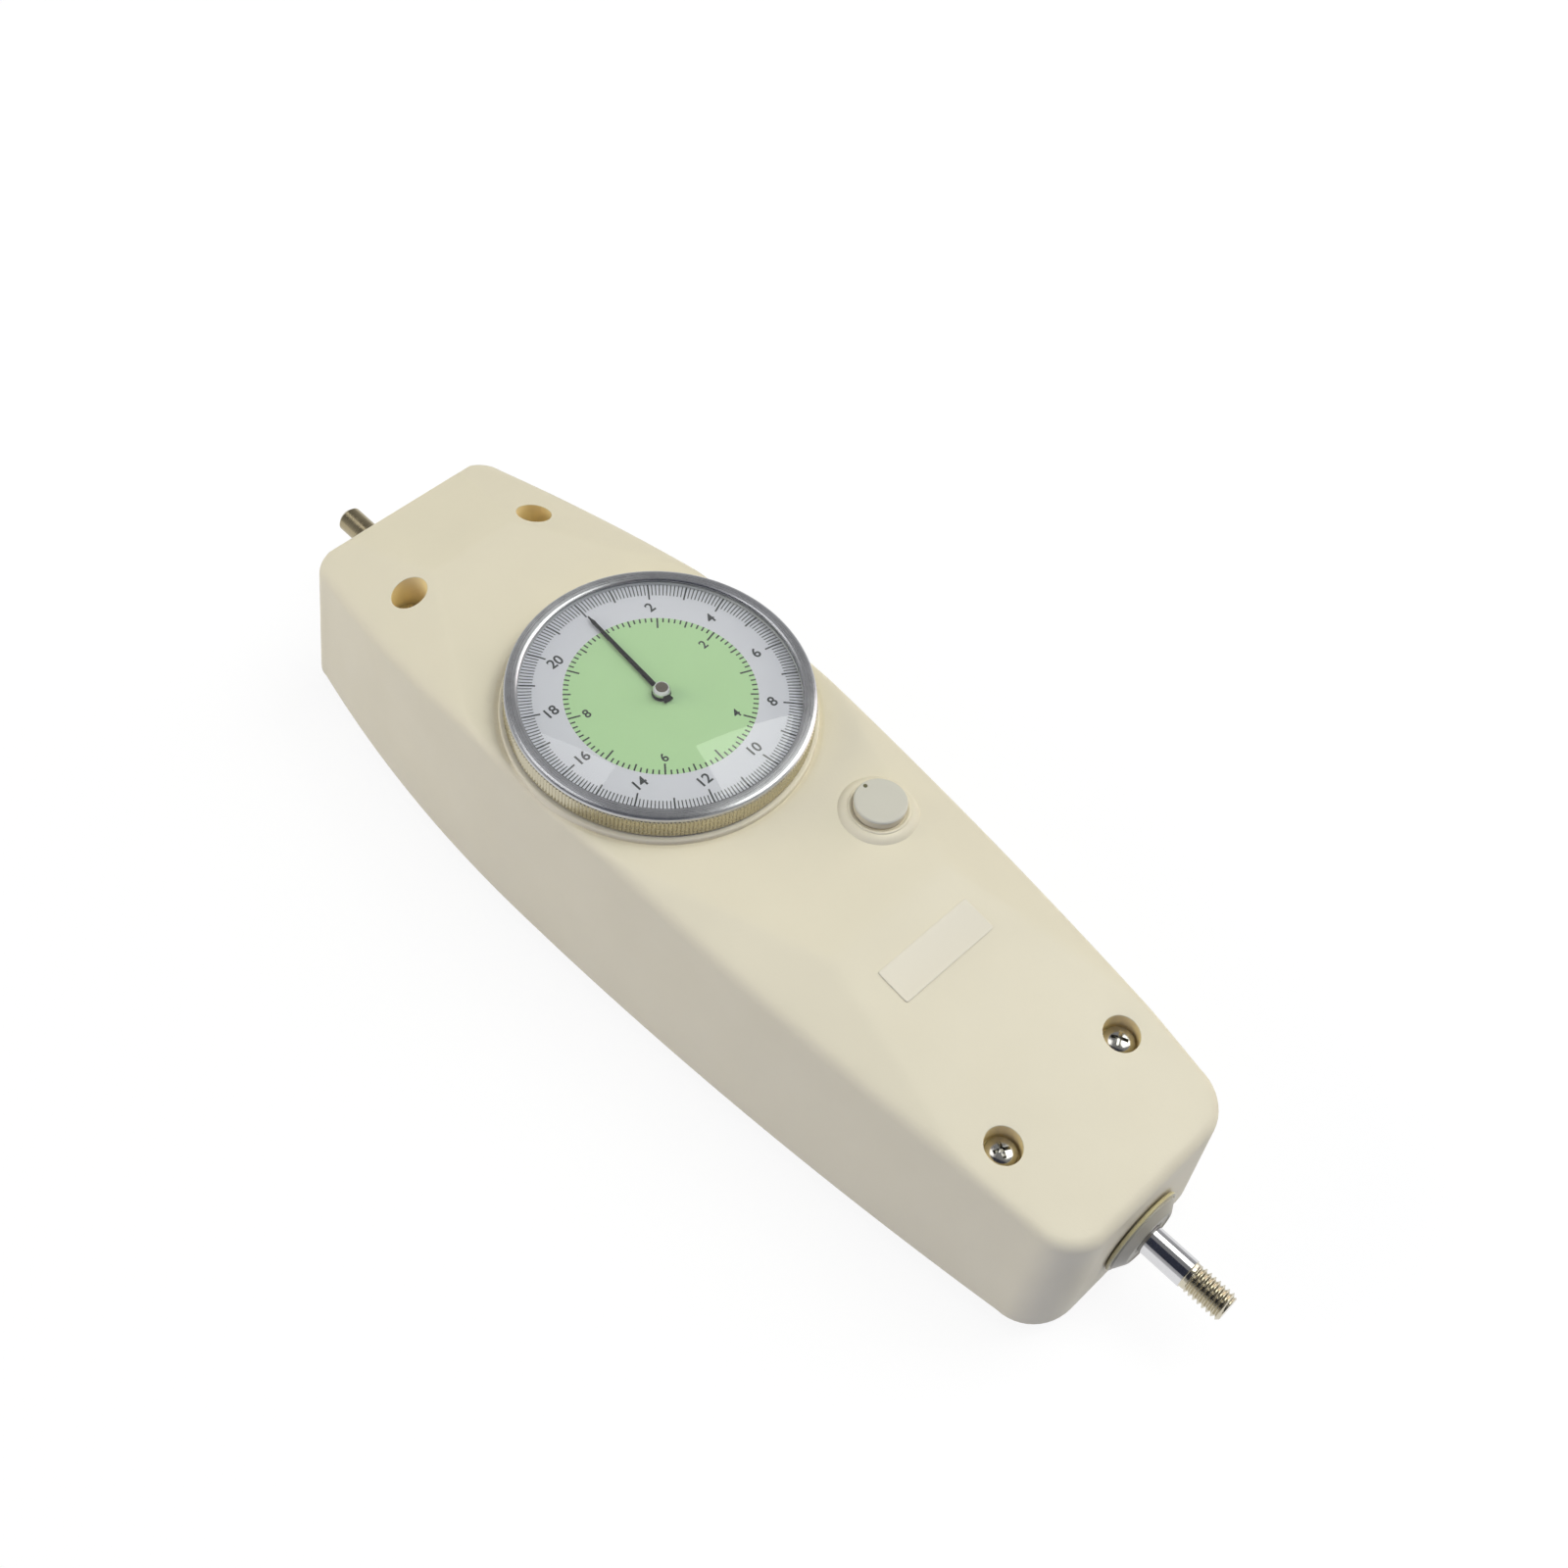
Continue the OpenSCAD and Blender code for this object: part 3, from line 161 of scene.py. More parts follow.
def x_axis(height):
    """The same for an axis along X at a height."""
    return lambda r, h, a: (h, r * math.cos(a), height + r * math.sin(a))


def lathe(build, profile, place, segments=96, closed=False, mat=0, radius=None):
    """Turns a profile of (radius, height) points round the axis that place stands for.

    radius(r, h, a) may change the radius round the turn. mat is one number, or a function of the
    middle (radius, height) of a band.
    """
    rows = []
    verts = []
    for r, h in profile:
        if r < 1e-9:
            rows.append([len(verts)] * segments)
            verts.append(place(0, h, 0))
            continue
        rows.append(list(range(len(verts), len(verts) + segments)))
        for i in range(segments):
            a = 2 * math.pi * i / segments
            verts.append(place(radius(r, h, a) if radius else r, h, a))
    faces = []
    mats = []
    pairs = list(zip(range(len(rows)), range(1, len(rows))))
    if closed:
        pairs.append((len(rows) - 1, 0))
    for k, n in pairs:
        middle = ((profile[k][0] + profile[n][0]) / 2, (profile[k][1] + profile[n][1]) / 2)
        number = mat(*middle) if callable(mat) else mat
        for i in range(segments):
            j = (i + 1) % segments
            face = []
            for v in (rows[k][i], rows[k][j], rows[n][j], rows[n][i]):
                if v not in face:
                    face.append(v)
            if len(face) > 2:
                faces.append(face)
                mats.append(number)
    build.add(verts, faces, mats)


def outward(piece, weld=False):
    """Turns the faces of a closed piece to the outside, after a weld if it's asked for."""
    bm = bmesh.new()
    bm.from_mesh(piece.data)
    if weld:
        bmesh.ops.remove_doubles(bm, verts=bm.verts, dist=WELD)
    bmesh.ops.recalc_face_normals(bm, faces=bm.faces)
    bm.to_mesh(piece.data)
    bm.free()
    return piece


def boolean(piece, cutter):
    """Cuts the cutter out of the piece for good."""
    change = piece.modifiers.new("cut", "BOOLEAN")
    change.object = cutter
    change.operation = "DIFFERENCE"
    change.solver = "EXACT"
    graph = bpy.context.evaluated_depsgraph_get()
    mesh = bpy.data.meshes.new_from_object(piece.evaluated_get(graph))
    piece.modifiers.remove(change)
    piece.data = mesh
    bpy.data.objects.remove(cutter)


def loose(build, name):
    """A mesh object that is only used up in making others."""
    return outward(add_object(name, build.mesh(name)))


BOX_FACES = [[3, 2, 1, 0], [4, 5, 6, 7], [0, 1, 5, 4], [1, 2, 6, 5], [2, 3, 7, 6], [3, 0, 4, 7]]


def spin(x, y, turn):
    """A plan point turned about the origin."""
    ca, sa = math.cos(turn), math.sin(turn)
    return x * ca - y * sa, x * sa + y * ca


def circle(x, y, r, count):
    turns = [2 * math.pi * i / count for i in range(count)]
    return [(x + r * math.cos(a), y + r * math.sin(a)) for a in turns]


def plan_triangles(loops, points):
    """Triangles of plan points, with each closed loop kept as edges."""
    verts = [Vector(p) for p in points]
    edges = []
    for ring in loops:
        base = len(verts)
        verts += [Vector(p) for p in ring]
        edges += [(base + i, base + (i + 1) % len(ring)) for i in range(len(ring))]
    found = delaunay_2d_cdt(verts, edges, [], 0, 1e-5)
    return np.array([tuple(v) for v in found[0]]), np.array(found[2])


def inside(polygon, points):
    """Which plan points lie in the polygon."""
    a = np.array(polygon)
    b = np.roll(a, -1, axis=0)
    x, y = points[:, :1], points[:, 1:2]
    crosses = (a[:, 1] > y) != (b[:, 1] > y)
    with np.errstate(divide="ignore", invalid="ignore"):
        at = a[:, 0] + (y - a[:, 1]) * (b[:, 0] - a[:, 0]) / (b[:, 1] - a[:, 1])
    return (np.sum(crosses & (x < at), axis=1) % 2) == 1


def away(points, centres, distance):
    """Which plan points are farther than the distance from every centre."""
    clear = np.full(len(points), True)
    for x, y in centres:
        clear &= np.hypot(points[:, 0] - x, points[:, 1] - y) > distance
    return clear


def edge_distance(polygon, points):
    """How far each plan point is from the polygon's edge."""
    a = np.array(polygon)
    d = np.roll(a, -1, axis=0) - a
    rel = points[:, None, :] - a[None]
    share = np.clip((rel * d).sum(-1) / (d * d).sum(-1), 0, 1)
    return np.sqrt((((rel - share[..., None] * d) ** 2).sum(-1)).min(1))


def nearest(points, ring):
    """For each ring point, the index of the same point among the plan points."""
    return [int(((points - p) ** 2).sum(1).argmin()) for p in np.array(ring)]


# Materials


def linear(r, g, b):
    """A linear colour from 0 to 255 levels of sRGB."""
    levels = (c / 255 for c in (r, g, b))
    return tuple(c / 12.92 if c <= 10 / 255 else ((c + 0.055) / 1.055) ** 2.4 for c in levels)


def tone(colour, factor):
    return tuple(min(1, c * factor) for c in colour)


class Tree:
    """Short ways to add shader nodes to a node tree and to link them."""

    def __init__(self, tree):
        self.tree = tree

    def node(self, kind, **values):
        made = self.tree.nodes.new("ShaderNode" + kind)
        for key, value in values.items():
            setattr(made, key, value)
        return made

    def feed(self, sockets, values):
        """Links or sets the first sockets, one for each value."""
        for socket, value in zip(sockets, values):
            if isinstance(value, bpy.types.NodeSocket):
                self.tree.links.new(value, socket)
            else:
                socket.default_value = value

    def put(self, made, **values):
        """Links or sets a node's inputs by name, with _ where the name has a space."""
        for key, value in values.items():
            self.feed((made.inputs[key.replace("_", " ")],), (value,))
        return made

    def link(self, a, b):
        self.tree.links.new(a, b)

    def math(self, operation, *values):
        made = self.node("Math", operation=operation)
        self.feed(made.inputs, values)
        return made.outputs[0]

    def spread(self, value, low, high, start=0.3, end=0.7):
        """Maps the range from start to end onto the range from low to high."""
        made = self.node("MapRange")
        self.feed(made.inputs, (value, start, end, low, high))
        return made.outputs["Result"]

    def mix_shaders(self, fac, a, b):
        made = self.node("MixShader")
        self.feed(made.inputs, (fac, a, b))
        return made.outputs[0]


class Nodes(Tree):
    """The nodes of a new material round its principled shader."""

    def __init__(self, name):
        self.mat = bpy.data.materials.new(name)
        self.mat.use_nodes = True
        super().__init__(self.mat.node_tree)
        self.shader = self.tree.nodes["Principled BSDF"]
        self.place = self.node("TexCoord").outputs["Object"]

    def noise(self, scale, detail, vector=None):
        made = self.put(self.node("TexNoise"), Scale=scale, Detail=detail, Roughness=0.55)
        self.link(vector or self.place, made.inputs["Vector"])
        return made.outputs["Fac"]

    def blend(self, fac, a, b):
        """A colour between two others."""
        made = self.node("Mix", data_type="RGBA")
        colours = [(*c, 1) if isinstance(c, tuple) else c for c in (a, b)]
        self.link(fac, made.inputs["Factor"])
        self.feed(made.inputs[6:8], colours)
        return made.outputs[2]

    def bump(self, height, strength, depth, under=None):
        made = self.put(self.node("Bump"), Strength=strength, Distance=depth, Height=height)
        if under:
            self.link(under, made.inputs["Normal"])
        return made.outputs["Normal"]

    def scaled(self, scale):
        made = self.put(self.node("Mapping"), Scale=(scale, scale, scale), Vector=self.place)
        return made.outputs["Vector"]

    def turned(self, scale, centre, axis):
        """A coordinate that is constant along turning marks round an axis."""
        parts = self.node("SeparateXYZ")
        self.link(self.place, parts.inputs[0])
        a, b, along = {"Z": ("X", "Y", "Z"), "X": ("Y", "Z", "X")}[axis]
        da = self.math("SUBTRACT", parts.outputs[a], centre[0] * MM)
        db = self.math("SUBTRACT", parts.outputs[b], centre[1] * MM)
        squares = [self.math("MULTIPLY", d, d) for d in (da, db)]
        r = self.math("SQRT", self.math("ADD", *squares))
        joined = self.node("CombineXYZ")
        across = self.math("MULTIPLY", r, scale)
        self.feed(joined.inputs, (across, self.math("MULTIPLY", parts.outputs[along], scale)))
        return joined.outputs[0]

    def finish(self, colour, roughness, normal):
        self.put(self.shader, Base_Color=colour, Roughness=roughness, Normal=normal)
        return self.mat


PLASTIC_IOR = 1.49


def plastic(name, colour, rough=0.42, spark=2600, depth=0.03, cloud=0.025, **more):
    """Moulded plastic: a spark-eroded grain, faint clouding and a little uneven gloss."""
    n = Nodes(name)
    cloudy = n.noise(38, 3)
    specks = n.noise(3400, 2)
    mixed = n.blend(n.spread(cloudy, 0, 1), tone(colour, 1 - cloud), tone(colour, 1 + cloud * 0.6))
    specked = n.blend(n.spread(specks, 0, 0.5, 0.62, 0.8), mixed, tone(colour, 0.93))
    gloss = n.spread(n.noise(90, 4), rough - 0.05, rough + 0.06)
    wide = n.bump(n.noise(140, 2), 0.25, 0.08 * MM)
    n.put(n.shader, **{"IOR": PLASTIC_IOR, "Specular_IOR_Level": 0.45, **more})
    return n.finish(specked, gloss, n.bump(n.noise(spark, 3), 0.5, depth * MM, wide))


def metal(name, colour, rough, turned=None, axis="Z", centre=(0, 0), depth=0.006, dark=0.8,
          grain=900, brushed=0.0):
    """Metal with fine marks round an axis, or a random satin. brushed stretches its highlights."""
    n = Nodes(name)
    coords = n.turned(turned, centre, axis) if turned else n.scaled(grain)
    marks = n.noise(1.0, 3, coords)
    haze = n.noise(160, 4)
    mixed = n.blend(n.spread(haze, 0, 1), tone(colour, dark), colour)
    uneven = n.spread(marks, rough * 0.75, rough * 1.3)
    gloss = n.math("ADD", uneven, n.spread(haze, -0.02, 0.04))
    n.put(n.shader, Metallic=1.0)
    if brushed:
        around = n.node("Tangent", direction_type="RADIAL", axis=axis)
        n.put(n.shader, Tangent=around.outputs[0], Anisotropic=brushed, Anisotropic_Rotation=0.25)
    return n.finish(mixed, gloss, n.bump(marks, 0.35, depth * MM))


FINE = {"rough": 0.36, "spark": 4200, "depth": 0.01}
PRINTED = {"rough": 0.38, "spark": 5200, "depth": 0.006}
ROD_AXIS = {"axis": "X", "centre": (0, AXIS_Z)}
case_plastic = plastic("case_ivory", linear(224, 216, 193), rough=0.46)
# Painted glow: a lighter, warmer ivory for the screw bores, standing in for light that shines
# through the plastic and bounces round inside them
pocket_glow_plastic = plastic("pocket_ivory_painted_glow", linear(249, 228, 170), rough=0.5)
cover_plastic = plastic("cover_ivory", linear(218, 210, 186), rough=0.5, spark=1800, depth=0.05)
# Painted shade: the collars are cream plastic, and this grey copies the shade their cones sit in
collar_shade_plastic = plastic("collar_grey_painted_shade", linear(160, 155, 140), **FINE)
# Painted light: the olive-yellow tone copies how the flange rim's edge is lit
collar_rim_lit_plastic = plastic("collar_rim_olive_painted_light", linear(188, 178, 134), **FINE)
cap_plastic = plastic("knob_cap_grey", linear(203, 200, 187), rough=0.4, spark=3000, depth=0.02)
skirt_plastic = plastic("knob_skirt_beige", linear(214, 206, 182), spark=3000, depth=0.02)
dot_paint = plastic("knob_dot_olive", linear(96, 92, 62), rough=0.35, spark=5000, depth=0.01)
label_film = plastic("label_film_cream", linear(225, 218, 200), rough=0.4, spark=900, depth=0.02,
                     cloud=0.015)
dial_white = plastic("dial_white", linear(221, 221, 229), cloud=0.012, **PRINTED)
dial_green = plastic("dial_green", linear(183, 220, 166), cloud=0.015, **PRINTED)
ink_black = plastic("dial_ink", linear(38, 40, 42), rough=0.45, spark=5200, depth=0.004, cloud=0.05)
needle_black = plastic("pointer_black", linear(13, 13, 15), rough=0.5, depth=0.004, cloud=0.08,
                       Specular_IOR_Level=0.05)
bezel_polish = metal("bezel_polished", linear(205, 206, 209), rough=0.27, turned=9000, depth=0.003,
                     dark=0.95, brushed=0.8)
# Knurled metal whose beige tint is a painted reflection of the ivory case round it
bezel_knurl_reflection_tint = metal("bezel_knurled_painted_reflection", linear(198, 191, 168), rough=0.24, grain=1200, dark=0.92)
chrome = metal("rod_chrome", linear(216, 216, 218), rough=0.09, turned=7000, depth=0.0015,
               dark=0.95, **ROD_AXIS)
stub_steel = metal("stub_steel", linear(172, 160, 130), rough=0.24, turned=5000, depth=0.004,
                   dark=0.85, **ROD_AXIS)
thread_steel = metal("thread_steel", linear(208, 201, 182), rough=0.12, grain=3000, dark=0.85)
screw_nickel = metal("screw_nickel", linear(208, 206, 200), rough=0.16, grain=2600, dark=0.88)
hub_rim = metal("hub_chrome", linear(214, 213, 210), rough=0.1, turned=12000, depth=0.002,
                dark=0.92)
hub_top_metal = metal("hub_top_bronzed", linear(104, 96, 86), rough=0.3, turned=14000, depth=0.005,
                      dark=0.82)


def clear_glass():
    n = Nodes("crystal_clear")
    n.put(n.shader, Transmission_Weight=1.0, IOR=PLASTIC_IOR)
    haze = n.spread(n.noise(120, 3), 0.0, 0.006, 0.45, 0.8)
    return n.finish((*linear(250, 252, 253), 1), haze, n.bump(n.noise(30, 2), 0.1, 0.004 * MM))


crystal_clear = clear_glass()

# One material for each slot of the record. Most of these pieces are out of sight in the case.
SLOT_MATERIALS = {
    "case_plastic": case_plastic,
    "cover_plastic": cover_plastic,
    # the bushes take the painted-shade grey of the collars
    "bush_plastic": collar_shade_plastic,
    # the bezel's slot takes the knurl metal with its painted beige reflection
    "bezel_metal": bezel_knurl_reflection_tint,
    "dial_face": dial_white,
    "pointer_black": needle_black,
    "crystal_glass": crystal_clear,
    "gasket_grey": plastic("gasket_grey", linear(186, 188, 192), rough=0.6, depth=0.01, cloud=0.05),
    "chrome": chrome,
    "steel": metal("steel_satin", linear(176, 178, 182), rough=0.32, dark=0.86),
    "spring_steel": metal("spring_steel", linear(150, 152, 158), rough=0.24, grain=1600),
    "brass": metal("brass", linear(205, 172, 104), rough=0.26, dark=0.86),
    "bronze": metal("bronze", linear(178, 134, 84), rough=0.34, dark=0.82),
    "block_alloy": metal("block_alloy", linear(184, 187, 192), rough=0.4, grain=500, dark=0.86),
    "knob_plastic": cap_plastic,
    "knob_body": skirt_plastic,
    "ruby": plastic("ruby", linear(150, 20, 40), rough=0.12, depth=0.002, cloud=0.1),
    "nylon": plastic("nylon_white", linear(228, 226, 216), rough=0.5, spark=1600, depth=0.02),
    "label_film": label_film,
    "brake_felt": plastic("brake_felt", linear(92, 84, 72), rough=0.95, spark=1500, depth=0.2,
                          cloud=0.2),
}
node_slot = {p["node"]: p["material_slot"] for p in frame["record"]["subparts"]}
for node_name, node_object in frame["nodes"].items():
    node_object.data.materials.clear()
    node_object.data.materials.append(SLOT_MATERIALS[node_slot[node_name]])

# The case's shape

FRONT, BACK = 124.0, 76.0  # how far the ends are from the dial's axis
WIDE, WIDE_X = 30.3, -2.0  # half the width at the fold, where it's greatest
FRONT_BOW, BACK_BOW = WIDE - 43.2 / 2, WIDE - 43.4 / 2
CORNER_FRONT, CORNER_BACK = 9.0, 5.0
FLARE, END_FLARE = 2.68, 0.4  # how far the sides and ends lean out, down to the parting line
FLARE_FIT = 0.98  # keeps the ends inside the CAD box
PART_Z, FOLD, WALL = 5.0, 2.0, 2.5
PLATEAU = 43.3  # height of the flat middle
RIDGE_F, RIDGE_F_Y = 59.0, 15.0  # where it ends at the front, and half its width there
RIDGE_B, RIDGE_B_Y = -53.0, 10.2
FRONT_END_Z, BACK_END_Z = 33.8, 36.9
RING_R, RING_TOP, RING_ROUND, CUP_HOLE, CUP_SIDES = 29.8, 44.0, 0.4, 27.4, 180
MOAT, MOAT_DEPTH = 1.1, 0.4  # the shallow dip round the ring
KNOB = (42.8, 14.3)
BOSS_TOP, BOSS_R, BOSS_FLARE, KNOB_SIDES = 44.5, 5.9, 1.7, 72
WELL_R, WELL_FLOOR = 5.3, 44.3
EDGE, LIP = 0.25, 0.16  # radii of small rounded edges
SCREWS = [(101.5, 15.8), (101.5, -15.8), (-53.2, 15.8), (-53.2, -15.8)]
BORE_R, BORE_SIDES, SEAT_Z = 3.5, 56, 32.65
SLEEVE_R, SLEEVE_SIDES = 4.7, 32
STAND_HOLES = [(x, y) for x in (0, 50) for y in (20, -20)]
STAND_R, STAND_SIDES = 3.42, 48
SHELL_ANGLE = 38


def arc_r(run, bow):
    """Radius of a side's arc that comes in by bow over run."""
    return (run * run + bow * bow) / (2 * bow)


BACK_ARC = arc_r(BACK + WIDE_X, BACK_BOW)
FRONT_ARC = arc_r(FRONT - WIDE_X, FRONT_BOW)


def side_y(x):
    """Half the case's width at the fold."""
    r = BACK_ARC if x < WIDE_X else FRONT_ARC
    return WIDE - (r - math.sqrt(r * r - (x - WIDE_X) ** 2))


def outline_points():
    """The case from above, with the outward normal at each point."""
    half = []

    def corner(x, r, start, steps):
        for i in range(steps + 1):
            a = start - math.pi / 2 * i / steps
            y = side_y(x) - r * (1 - math.sin(a))
            half.append((x + r * math.cos(a), y, math.cos(a), math.sin(a)))

    back, front, count = -BACK + CORNER_BACK, FRONT - CORNER_FRONT, 88
    corner(back, CORNER_BACK, math.pi, 10)
    for i in range(1, count):
        x = back + (front - back) * i / count
        slope = (side_y(x + 0.01) - side_y(x - 0.01)) / 0.02
        size = math.hypot(slope, 1)
        half.append((x, side_y(x), -slope / size, 1 / size))
    corner(front, CORNER_FRONT, math.pi / 2, 12)
    return half + [(x, -y, nx, -ny) for x, y, nx, ny in reversed(half)]


OUTLINE = outline_points()


def outline_ring(inset):
    return [(x - nx * inset, y - ny * inset) for x, y, nx, ny in OUTLINE]


def flared(points, share, z):
    """Outline points moved out by a share of the sides' lean, at height z."""
    return [(x + (END_FLARE if x > 0 else -END_FLARE) * share * FLARE_FIT,
             y * (1 + FLARE / WIDE * share), z) for x, y in points]


def plane(plan, heights):
    """(p, q, s) of the plane z = p x + q y + s through three plan points at these heights."""
    return tuple(np.linalg.solve(np.array([[x, y, 1] for x, y in plan]), np.array(heights)))


FRONT_SLOPE = (PLATEAU - FRONT_END_Z) / (FRONT - RIDGE_F)
BACK_SLOPE = (PLATEAU - BACK_END_Z) / (BACK + RIDGE_B)
FACET_END = 103
FRONT_FACET = [(RIDGE_F, RIDGE_F_Y), (14, side_y(14)), (FACET_END, side_y(FACET_END))]
BACK_FACET = [(RIDGE_B, RIDGE_B_Y), (-19, side_y(-19)), (-BACK, 14.5)]
SLOPES = (
    (-FRONT_SLOPE, 0, PLATEAU + FRONT_SLOPE * RIDGE_F),
    (BACK_SLOPE, 0, PLATEAU - BACK_SLOPE * RIDGE_B),
    plane(FRONT_FACET, (PLATEAU, PLATEAU, PLATEAU - FRONT_SLOPE * (FACET_END - RIDGE_F))),
    plane(BACK_FACET, (PLATEAU, PLATEAU, BACK_END_Z)),
)
CREASE = 0.2


def soft_min(a, b):
    """The lower of two heights, blended where they come within CREASE of each other."""
    h = np.maximum(CREASE - np.abs(a - b), 0) / CREASE
    return np.minimum(a, b) - h * h * CREASE / 4


def top_z(x, y):
    """The faceted top with softly rounded creases."""
    z = np.full_like(x, PLATEAU)
    for p, q, s in SLOPES:
        z = soft_min(z, p * x + q * np.abs(y) + s)
    return z


def drop(share):
    """How far a rounded edge of radius 1 has dropped, from share 0 on the flat to 1 at its end."""
    return 1 - np.sqrt(1 - np.clip(share, 0, 1) ** 2)


def shell_z(points, edge):
    """Height of the case over plan points: fold, ring and moat round the dial, knob boss, bores.

    edge is each point's distance from the case's outline.
    """
    x, y = points[:, 0], points[:, 1]
    inset = np.clip(edge, 0, FOLD)
    z = top_z(x, y) - FOLD + np.sqrt(np.maximum(FOLD ** 2 - (FOLD - inset) ** 2, 0))
    r = np.hypot(x, y)
    ring = RING_TOP - RING_ROUND * drop((r - (RING_R - RING_ROUND)) / RING_ROUND)
    ring = ring - EDGE * drop((CUP_HOLE + EDGE - r) / EDGE)
    moat = np.clip(1 - (r - RING_R) / MOAT, 0, 1)
    moat_z = z - MOAT_DEPTH * moat * moat * (3 - 2 * moat)
    outside = np.where(r < RING_R + MOAT, moat_z, z)
    z = np.where(r <= RING_R + 0.005, np.maximum(ring, z), outside)
    k = np.hypot(x - KNOB[0], y - KNOB[1])
    boss = BOSS_TOP - EDGE * drop((k - BOSS_R + EDGE) / EDGE) - LIP * drop((WELL_R + LIP - k) / LIP)
    u = np.clip(1 - (k - BOSS_R) / BOSS_FLARE, 0, 1)
    flare = z + (BOSS_TOP - EDGE - z) * (1 - (1 - u) ** 2.2)
    z = np.where(k <= BOSS_R, boss, np.where(k < BOSS_R + BOSS_FLARE, flare, z))
    for sx, sy in SCREWS:
        z = z - LIP * drop((BORE_R + LIP - np.hypot(x - sx, y - sy)) / LIP)
    return z


def hex_grid(step):
    """Plan points over the case's whole box, every other row half a step along."""
    out = []
    row, y = 0, -WIDE
    while y <= WIDE:
        x = -BACK + (step / 2 if row % 2 else 0)
        while x <= FRONT:
            out.append((x, y))
            x += step
        y += step * 0.866
        row += 1
    return np.array(out)


def ridge_points():
    """Rows of plan points along the creases of the top."""
    ends = []
    for sign in (1, -1):
        for facet in (FRONT_FACET, BACK_FACET):
            ridge, middle, end = [(x, sign * y) for x, y in facet]
            ends += [(ridge, middle), (ridge, end)]
    ends += [((x, -y), (x, y)) for x, y in ((RIDGE_F, RIDGE_F_Y), (RIDGE_B, RIDGE_B_Y))]
    step, offsets = 1.3, (-1.6, -0.8, 0, 0.8, 1.6)
    out = []
    for a, b in ends:
        a, b = np.array(a), np.array(b)
        d = b - a
        size = np.hypot(*d)
        side = np.array([-d[1], d[0]]) / size
        for k in range(int(size / step) + 1):
            out += [a + d * min(1, k * step / size) + side * offset for offset in offsets]
    return np.array(out)


def close_pocket(build, z, ring, floor_z, mat=0):
    """A round pocket's wall and floor under a rim that is already in the plan mesh."""
    count = len(ring)
    cx, cy = sum(p[0] for p in ring) / count, sum(p[1] for p in ring) / count
    top = [(x, y, high) for (x, y), high in zip(ring, z)]
    base = [(x, y, floor_z + EDGE) for x, y in ring]
    foot = [(cx + (x - cx) * 0.93, cy + (y - cy) * 0.93, floor_z) for x, y in ring]
    build.add_rows([top, base, foot], mat)
    build.add(foot + [(cx, cy, floor_z)], [[i, (i + 1) % count, count] for i in range(count)], mat)


